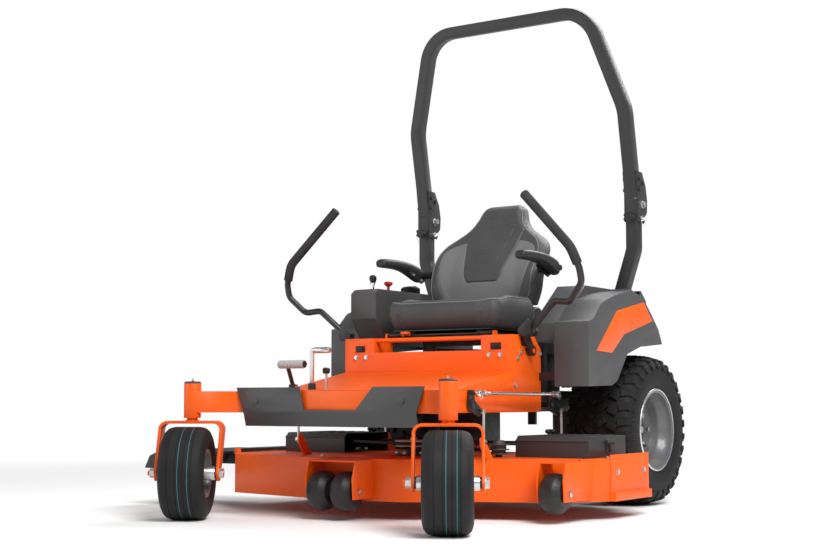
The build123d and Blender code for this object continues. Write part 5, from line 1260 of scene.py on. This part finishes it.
# ----------------------------------------------------------------------------------- driver's controls
@dataclass
class Controls:
    """The knobs, cap and plates on the console, and the foot pedal's roller."""

    console: float = 0.880
    throttle: tuple[float, float] = (-0.400, -0.581)
    blade_switch: tuple[float, float] = (-0.378, -0.500)
    cap: tuple[float, float] = (-0.412, -0.280)
    cap_radius: float = 0.042

    def build(self) -> None:
        """Build the knobs, the cap, the console's trim and the pedal."""
        self._throttle()
        self._blade_switch()
        self._fuel_cap()
        self._console_trim()
        self._pedal()

    def _throttle(self) -> None:
        """Build the throttle's flat lever and its pear-shaped knob."""
        x, y = self.throttle
        lever = Piece("throttle_strip", "throttle", "plastic_black", BLACK_PLASTIC)
        lever.box(at(x - 0.002, y - 0.006, 0.830), at(x + 0.002, y + 0.006, 0.902), soften=0.0008)
        lever.done()
        knob = Piece("throttle_knob", "throttle", "plastic_black", BLACK_PLASTIC)
        knob.lathe([(0.0, 0.0), (0.0, 0.0065), (0.008, 0.0075), (0.018, 0.0115), (0.028, 0.0150),
                    (0.036, 0.0155), (0.043, 0.0125), (0.047, 0.0065), (0.048, 0.0)],
                   at(x, y, 0.897), UP, steps=40)
        knob.done(replaces=["throttle_lever"], flat=60.0)

    def _blade_switch(self) -> None:
        """Build the red mushroom knob that engages the blades."""
        x, y = self.blade_switch
        knob = Piece("blade_switch_knob", "blade_switch", "plastic_red", RED_PLASTIC)
        knob.bar(at(x, y, 0.850), at(x, y, 0.903), 0.006)
        knob.lathe([(0.0, 0.0), (0.0, 0.0105), (0.003, 0.0125), (0.008, 0.0175), (0.013, 0.0190),
                    (0.017, 0.0170), (0.0195, 0.0110), (0.0198, 0.0)], at(x, y, 0.9015), UP, steps=40)
        knob.done(replaces=["pto_knob"], flat=60.0)
        collar = Piece("blade_switch_collar", "chassis", "plastic_black", BLACK_PLASTIC)
        collar.lathe([(0.0, 0.0066), (0.0, 0.016), (0.003, 0.0155), (0.004, 0.0125), (0.004, 0.0066)],
                     at(x, y, self.console), UP, steps=40, ring=True)
        collar.done()

    def _fuel_cap(self) -> None:
        """Build the fuel cap with its grip ribs."""
        x, y = self.cap
        cap = Piece("fuel_cap_ribbed", "fuel_lid", "plastic_black", BLACK_PLASTIC)
        base = at(x, y, self.console + 0.0004)
        cap.lathe([(0.0, 0.035), (0.0, self.cap_radius - 0.0015), (0.026, self.cap_radius - 0.002),
                   (0.032, 0.037), (0.0345, 0.030), (0.0345, 0.016), (0.0375, 0.014), (0.0378, 0.0),
                   (0.030, 0.0), (0.030, 0.035)], base, UP, steps=72)
        for turn in turns(36):
            foot = base + Vector((cos(turn), sin(turn), 0.0)) * (self.cap_radius - 0.0014)
            cap.bar(foot + UP * 0.002, foot + UP * 0.027, 0.0014, sides=8)
        cap.box(base + Vector((-0.030, -0.005, 0.031)), base + Vector((0.030, 0.005, 0.0375)), soften=0.002)
        cap.done(replaces=["fuel_cap"])

    def _console_trim(self) -> None:
        """Lay the control plates and the hour meter on the console, and close its front underneath."""
        plate = Piece("console_plate", "chassis", "plastic_black", COVER_GRAY)
        low_z, high_z = self.console - 0.0005, self.console + 0.0014
        for high_x, low_y, high_y in ((-0.342, -0.632, -0.616), (-0.408, -0.560, -0.350),
                                      (-0.342, -0.478, -0.350)):
            plate.box(at(-0.444, low_y, low_z), at(high_x, high_y, high_z), soften=0.0006)
        plate.done()
        shroud = Piece("console_underside", "chassis", "plastic_gray", FENDER_GRAY)
        outline = [(-0.6592, 0.762), (-0.6295, 0.716), (-0.5620, 0.652), (-0.5590, 0.655), (-0.6265, 0.719),
                   (-0.6562, 0.763)]
        shroud.plate([at(-0.4535, y, z) for y, z in outline], Vector((0.1220, 0.0, 0.0)))
        shroud.done(bevel=0.0005)
        meter = Piece("hour_meter", "chassis", "plastic_black", BLACK_PLASTIC)
        meter.box(at(-0.440, -0.440, self.console + 0.001), at(-0.405, -0.385, self.console + 0.005),
                  soften=0.002)
        meter.done()

    def _pedal(self) -> None:
        """Build the pedal's light roller over its bar."""
        roller = Piece("pedal_roller", "pedal", "plastic_gray", PEDAL_SLEEVE)
        centre = at(-0.228, -1.336, 0.554)
        along = Vector((1.0, 0.0, 0.0))
        outline = [(-0.056, 0.0112), (-0.056, 0.0145), (-0.054, 0.0155)]
        for groove in range(9):
            place = -0.048 + 0.012 * groove
            outline += [(place - 0.0036, 0.0155), (place - 0.0026, 0.0143), (place + 0.0026, 0.0143),
                        (place + 0.0036, 0.0155)]
        outline += [(0.054, 0.0155), (0.056, 0.0145), (0.056, 0.0112)]
        roller.lathe(outline, centre, along, steps=40, ring=True)
        roller.done()


# -------------------------------------------------------------------------------------- roll bar trim
@dataclass
class RollBarTrim:
    """Wire rings of the lock pins and plate bolts of the folding hoop."""

    x: float = 0.514
    pin: tuple[float, float] = (0.011, 1.181)
    plate: float = 0.0314

    def build(self) -> None:
        """Build the trim of both sides."""
        for side in Side:
            ring = Piece(f"lock_pin_ring_{side.word}", f"rops_lock_{side.word}", "zinc_steel", CHROME)
            y, z = self.pin
            ring.tube(hoop(side.at(0.5565, y, z - 0.0185), 0.0165, 20), 0.0011, closed=True)
            ring.done()
            holes = Piece(f"hinge_plate_bolts_{side.word}", "roll_bar", "zinc_steel", DARK_STEEL)
            for y, z in ((-0.004, 1.345), (-0.004, 1.300), (0.030, 1.330)):
                for way in (-1, 1):
                    face = side.at(self.x + way * self.plate, y, z)
                    holes.bolt(face, side.outward * way, across=0.014, head=0.005)
            holes.done()


# ------------------------------------------------------------------------------------------ deck trim
@dataclass
class DeckTrim:
    """Welds, bolts, ribs and latches that dress the mower deck and its lift."""

    left_end: float = 0.760
    low: float = 0.066
    top: float = 0.216
    cover_top: float = 0.294
    spindles: tuple = ((0.490, -0.610), (0.0, -0.880), (-0.490, -0.610))
    bolt_circle: float = 0.062
    lift_rod: tuple[float, float] = (0.426, 0.448)
    spring_post: tuple[float, float] = (0.150, -0.700)

    def build(self) -> None:
        """Build the trim of the deck, its covers and the lift rods."""
        self._welds()
        self._bolts()
        self._covers()
        self._idler_spring()
        self._lift_nuts()

    def _welds(self) -> None:
        """Lay the weld beads along the wear bar and down the deck's front corners."""
        welds = Piece("deck_welds", "deck", "body_orange", ORANGE)
        runs = [((0.7612, y, 0.0968), (0.7612, y + 0.050, 0.0968)) for y in (-0.740, -0.620, -0.500)]
        runs += [((0.7590, -0.757, 0.070), (0.7590, -0.757, 0.228)),
                 ((0.6895, -0.8610, 0.070), (0.6895, -0.8610, 0.214))]
        for start, end in runs:
            first, last = at(*start), at(*end)
            beads = max(4, round((last - first).length / 0.006))
            for bead in range(beads + 1):
                welds.ball(first.lerp(last, bead / beads), 0.0034, (1.0, 1.0, 0.8))
        welds.done()

    def _bolts(self) -> None:
        """Bolt the spindle flanges and the deck's ends."""
        bolts = Piece("deck_bolts", "deck", "zinc_steel", ZINC)
        reach = self.bolt_circle
        for x, y in self.spindles:
            for turn in turns(6, 0.5):
                place = at(x + reach * cos(turn), y + reach * sin(turn), self.top + 0.008)
                bolts.bolt(place, UP, across=0.013)
        for x, y in ((0.730, -0.470), (0.730, -0.720), (-0.730, -0.470), (0.200, -1.100), (-0.250, -1.120)):
            bolts.bolt(at(x, y, self.top), UP, across=0.015)
        for y in (-0.480, -0.705):
            bolts.bolt(at(self.left_end, y, 0.168), Vector((1.0, 0.0, 0.0)), across=0.015)
        bolts.done()

    def _covers(self) -> None:
        """Rib the belt covers and hold each with a knob and a rubber latch."""
        for side in Side:
            ribs = Piece(f"belt_cover_ribs_{side.word}", "deck", "plastic_gray", COVER_GRAY)
            for step in range(5):
                x = 0.440 + step * 0.050
                low, high = (x, -0.755, self.cover_top - 0.001), (x + 0.012, -0.510, self.cover_top + 0.0025)
                ribs.box(*side.corners(low, high), soften=0.001)
            rim = [side.at(x, -0.7895, self.cover_top - 0.018) for x in (0.391, 0.689)]
            ribs.bar(*rim, 0.003, sides=12)
            ribs.done()
            latch = Piece(f"belt_cover_latch_{side.word}", "deck", "plastic_black", SMOOTH_RUBBER)
            latch.bar(side.at(0.7005, -0.664, 0.270), side.at(0.7005, -0.606, 0.270), 0.0065, sides=16)
            latch.box(*side.corners((0.6985, -0.643, 0.236), (0.7035, -0.627, 0.270)), soften=0.001)
            latch.done(bevel=0.001)
            knob = Piece(f"belt_cover_knob_{side.word}", "deck", "plastic_black", BLACK_PLASTIC)
            foot = side.at(0.415, -0.560, self.cover_top)
            for turn in turns(3):
                lobe = foot + Vector((0.012 * cos(turn), 0.012 * sin(turn), 0.012))
                knob.ball(lobe, 0.011, (1.0, 1.0, 0.8))
            knob.bar(foot, foot + UP * 0.018, 0.012, sides=20)
            knob.done()

    def _idler_spring(self) -> None:
        """Wind the belt tensioner's spring between the idler and its post on the deck."""
        spring = Piece("idler_spring", "deck", "zinc_steel", ZINC)
        start, end = at(0.330, -0.805, 0.252), at(*self.spring_post, 0.252)
        sideways = (end - start).cross(UP).normalized()
        coils, corners, coil_radius = 16, 12, 0.009
        route = []
        for step in range(corners * coils + 1):
            turn = tau * step / corners
            offset = sideways * (coil_radius * cos(turn)) + UP * (coil_radius * sin(turn))
            route.append(start.lerp(end, step / (corners * coils)) + offset)
        spring.tube(route, 0.0013, sides=1)
        spring.bar(at(*self.spring_post, self.top), at(*self.spring_post, 0.262), 0.006)
        spring.done()

    def _lift_nuts(self) -> None:
        """Thread the ends of the lift rods, with jam nuts and ring pins."""
        x, z = self.lift_rod
        for side in Side:
            nuts = Piece(f"lift_rod_nuts_{side.word}", "rods", "zinc_steel", ZINC)
            for y in (-1.078, -0.556):
                nuts.bar(side.at(x, y, z), side.at(x, y + 0.010, z), 0.0115, sides=6)
                for ridge in range(10):
                    place = y + (0.012 + 0.003 * ridge if y < -1 else -0.003 - 0.003 * ridge)
                    nuts.bar(side.at(x, place, z), side.at(x, place + 0.0015, z), 0.0071, sides=16)
            nuts.done()
            for body, y in (("front_cranks", -1.113), ("rear_cranks", -0.520)):
                ring = Piece(f"{body}_ring_pin_{side.word}", body, "zinc_steel", CHROME)
                ring.tube(hoop(side.at(0.4352, y, z - 0.011), 0.010, 16), 0.0008, closed=True)
                ring.done()


# ----------------------------------------------------------------------------------------- power unit
@dataclass
class PowerUnit:
    """The engine's cooling screen and air cleaner, the muffler's shield bands and the seat's release knob."""

    axis: tuple[float, float] = (0.0, 0.060)
    top: float = 0.746

    def build(self) -> None:
        """Build the pieces on the engine, on the muffler and under the seat."""
        screen = Piece("cooling_screen", "chassis", "engine_black", BLACK_PAINT)
        for radius in (0.018, 0.030, 0.042, 0.054):
            inner, outer = radius - 0.002, radius + 0.002
            screen.lathe([(0.0, inner), (0.0, outer), (0.003, outer), (0.003, inner)],
                         at(*self.axis, self.top), UP, steps=64, ring=True)
        middle = at(*self.axis, self.top + 0.001)
        for turn in turns(12):
            reach = Vector((cos(turn), sin(turn), 0.0))
            screen.bar(middle + reach * 0.012, middle + reach * 0.056, 0.0018)
        screen.done()
        cleaner = Piece("air_cleaner", "chassis", "engine_black", BLACK_PLASTIC)
        cleaner.lathe([(0.0, 0.0), (0.0, 0.046), (0.006, 0.050), (0.012, 0.047), (0.150, 0.047),
                       (0.156, 0.050), (0.172, 0.050), (0.178, 0.044), (0.180, 0.0)],
                      at(-0.090, -0.040, 0.775), Vector((1.0, 0.0, 0.0)), steps=48)
        cleaner.done(bevel=0.001)
        shield = Piece("muffler_shield", "chassis", "muffler_steel", EXHAUST)
        for step in range(9):
            place = -0.120 + 0.030 * step
            shield.bar(at(place, 0.334, 0.560), at(place + 0.006, 0.334, 0.560), 0.0505, sides=48)
        shield.done(bevel=0.001)
        knob = Piece("seat_release_knob", "seat_base", "body_orange", ORANGE_PLASTIC)
        knob.lathe([(0.0, 0.0), (0.0, 0.017), (0.002, 0.0195), (0.009, 0.0195), (0.011, 0.017), (0.011, 0.0)],
                   at(-0.144, -0.722, 0.684), UP, steps=40)
        knob.bar(at(-0.144, -0.722, 0.688), at(-0.144, -0.690, 0.684), 0.004)
        knob.done()


# ---------------------------------------------------------------------------------------------- main
FORMED: dict[str, tuple[Finish, float]] = {
    "main_frame": (ORANGE, 0.003), "deck_shell": (ORANGE, 0.0018), "control_tower": (ORANGE, 0.0015),
    "footrest": (ORANGE, 0.0015), "rear_frame": (CHARCOAL, 0.003), "front_bumper": (CHARCOAL, 0.002),
    "rops_hoop": (ROLL_BAR_GRAY, 0.003), "rops_posts": (ROLL_BAR_GRAY, 0.003),
    "lever_bracket_left": (BLACK_PAINT, 0.0012), "lever_bracket_right": (BLACK_PAINT, 0.0012),
    "lever_tube_left": (BLACK_PAINT, 0.0006), "lever_tube_right": (BLACK_PAINT, 0.0006),
    "seat_plate": (BLACK_PAINT, 0.0015),
    "seat_frame": (BLACK_PAINT, 0.0015), "front_lift_cranks": (BLACK_PAINT, 0.0015),
    "rear_lift_cranks": (BLACK_PAINT, 0.0015), "lift_pedal": (BLACK_PAINT, 0.0015),
    "engine_guard": (BLACK_PAINT, 0.0015), "height_crank": (ZINC, 0.001),
    "colour_panels": (ORANGE_PLASTIC, 0.0006), "fender_left": (FENDER_GRAY, 0.004),
    "fender_right": (FENDER_GRAY, 0.004), "belt_covers": (COVER_GRAY, 0.003),
    "lever_grip_left": (SMOOTH_RUBBER, 0.003), "lever_grip_right": (SMOOTH_RUBBER, 0.003),
    "discharge_chute": (BLACK_PLASTIC, 0.002), "roller_left": (BLACK_PLASTIC, 0.002),
    "roller_centre": (BLACK_PLASTIC, 0.002), "deck_hardware": (ZINC, 0.0008), "lift_rods": (CHROME, 0.0008),
    "rops_lock_pin_left": (ZINC, 0.0008), "rops_lock_pin_right": (ZINC, 0.0008),
    "ignition_key": (ZINC, 0.0006), "blade_left": (BLADE_STEEL, 0.0008),
    "blade_centre": (BLADE_STEEL, 0.0008),
    "blade_right": (BLADE_STEEL, 0.0008), "spindle_housings": (IRON, 0.0015), "hydro_drives": (IRON, 0.006),
    "engine": (ENGINE_BLACK, 0.003), "muffler": (EXHAUST, 0.003), "deck_belt": (SMOOTH_RUBBER, 0.0006),
}


def main() -> None:
    """Build the studio and every sub-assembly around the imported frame."""
    logging.basicConfig(level=logging.INFO, format="%(name)s: %(message)s")
    Studio().build()
    for node, (finish, edge) in FORMED.items():
        formed(node, finish, edge)
    for side in Side:
        DriveWheel(side).build()
        Caster(side).build()
    Seat().build()
    for trim in (FrameHardware(), Controls(), RollBarTrim(), DeckTrim(), PowerUnit()):
        trim.build()


if __name__ == "__main__":
    main()
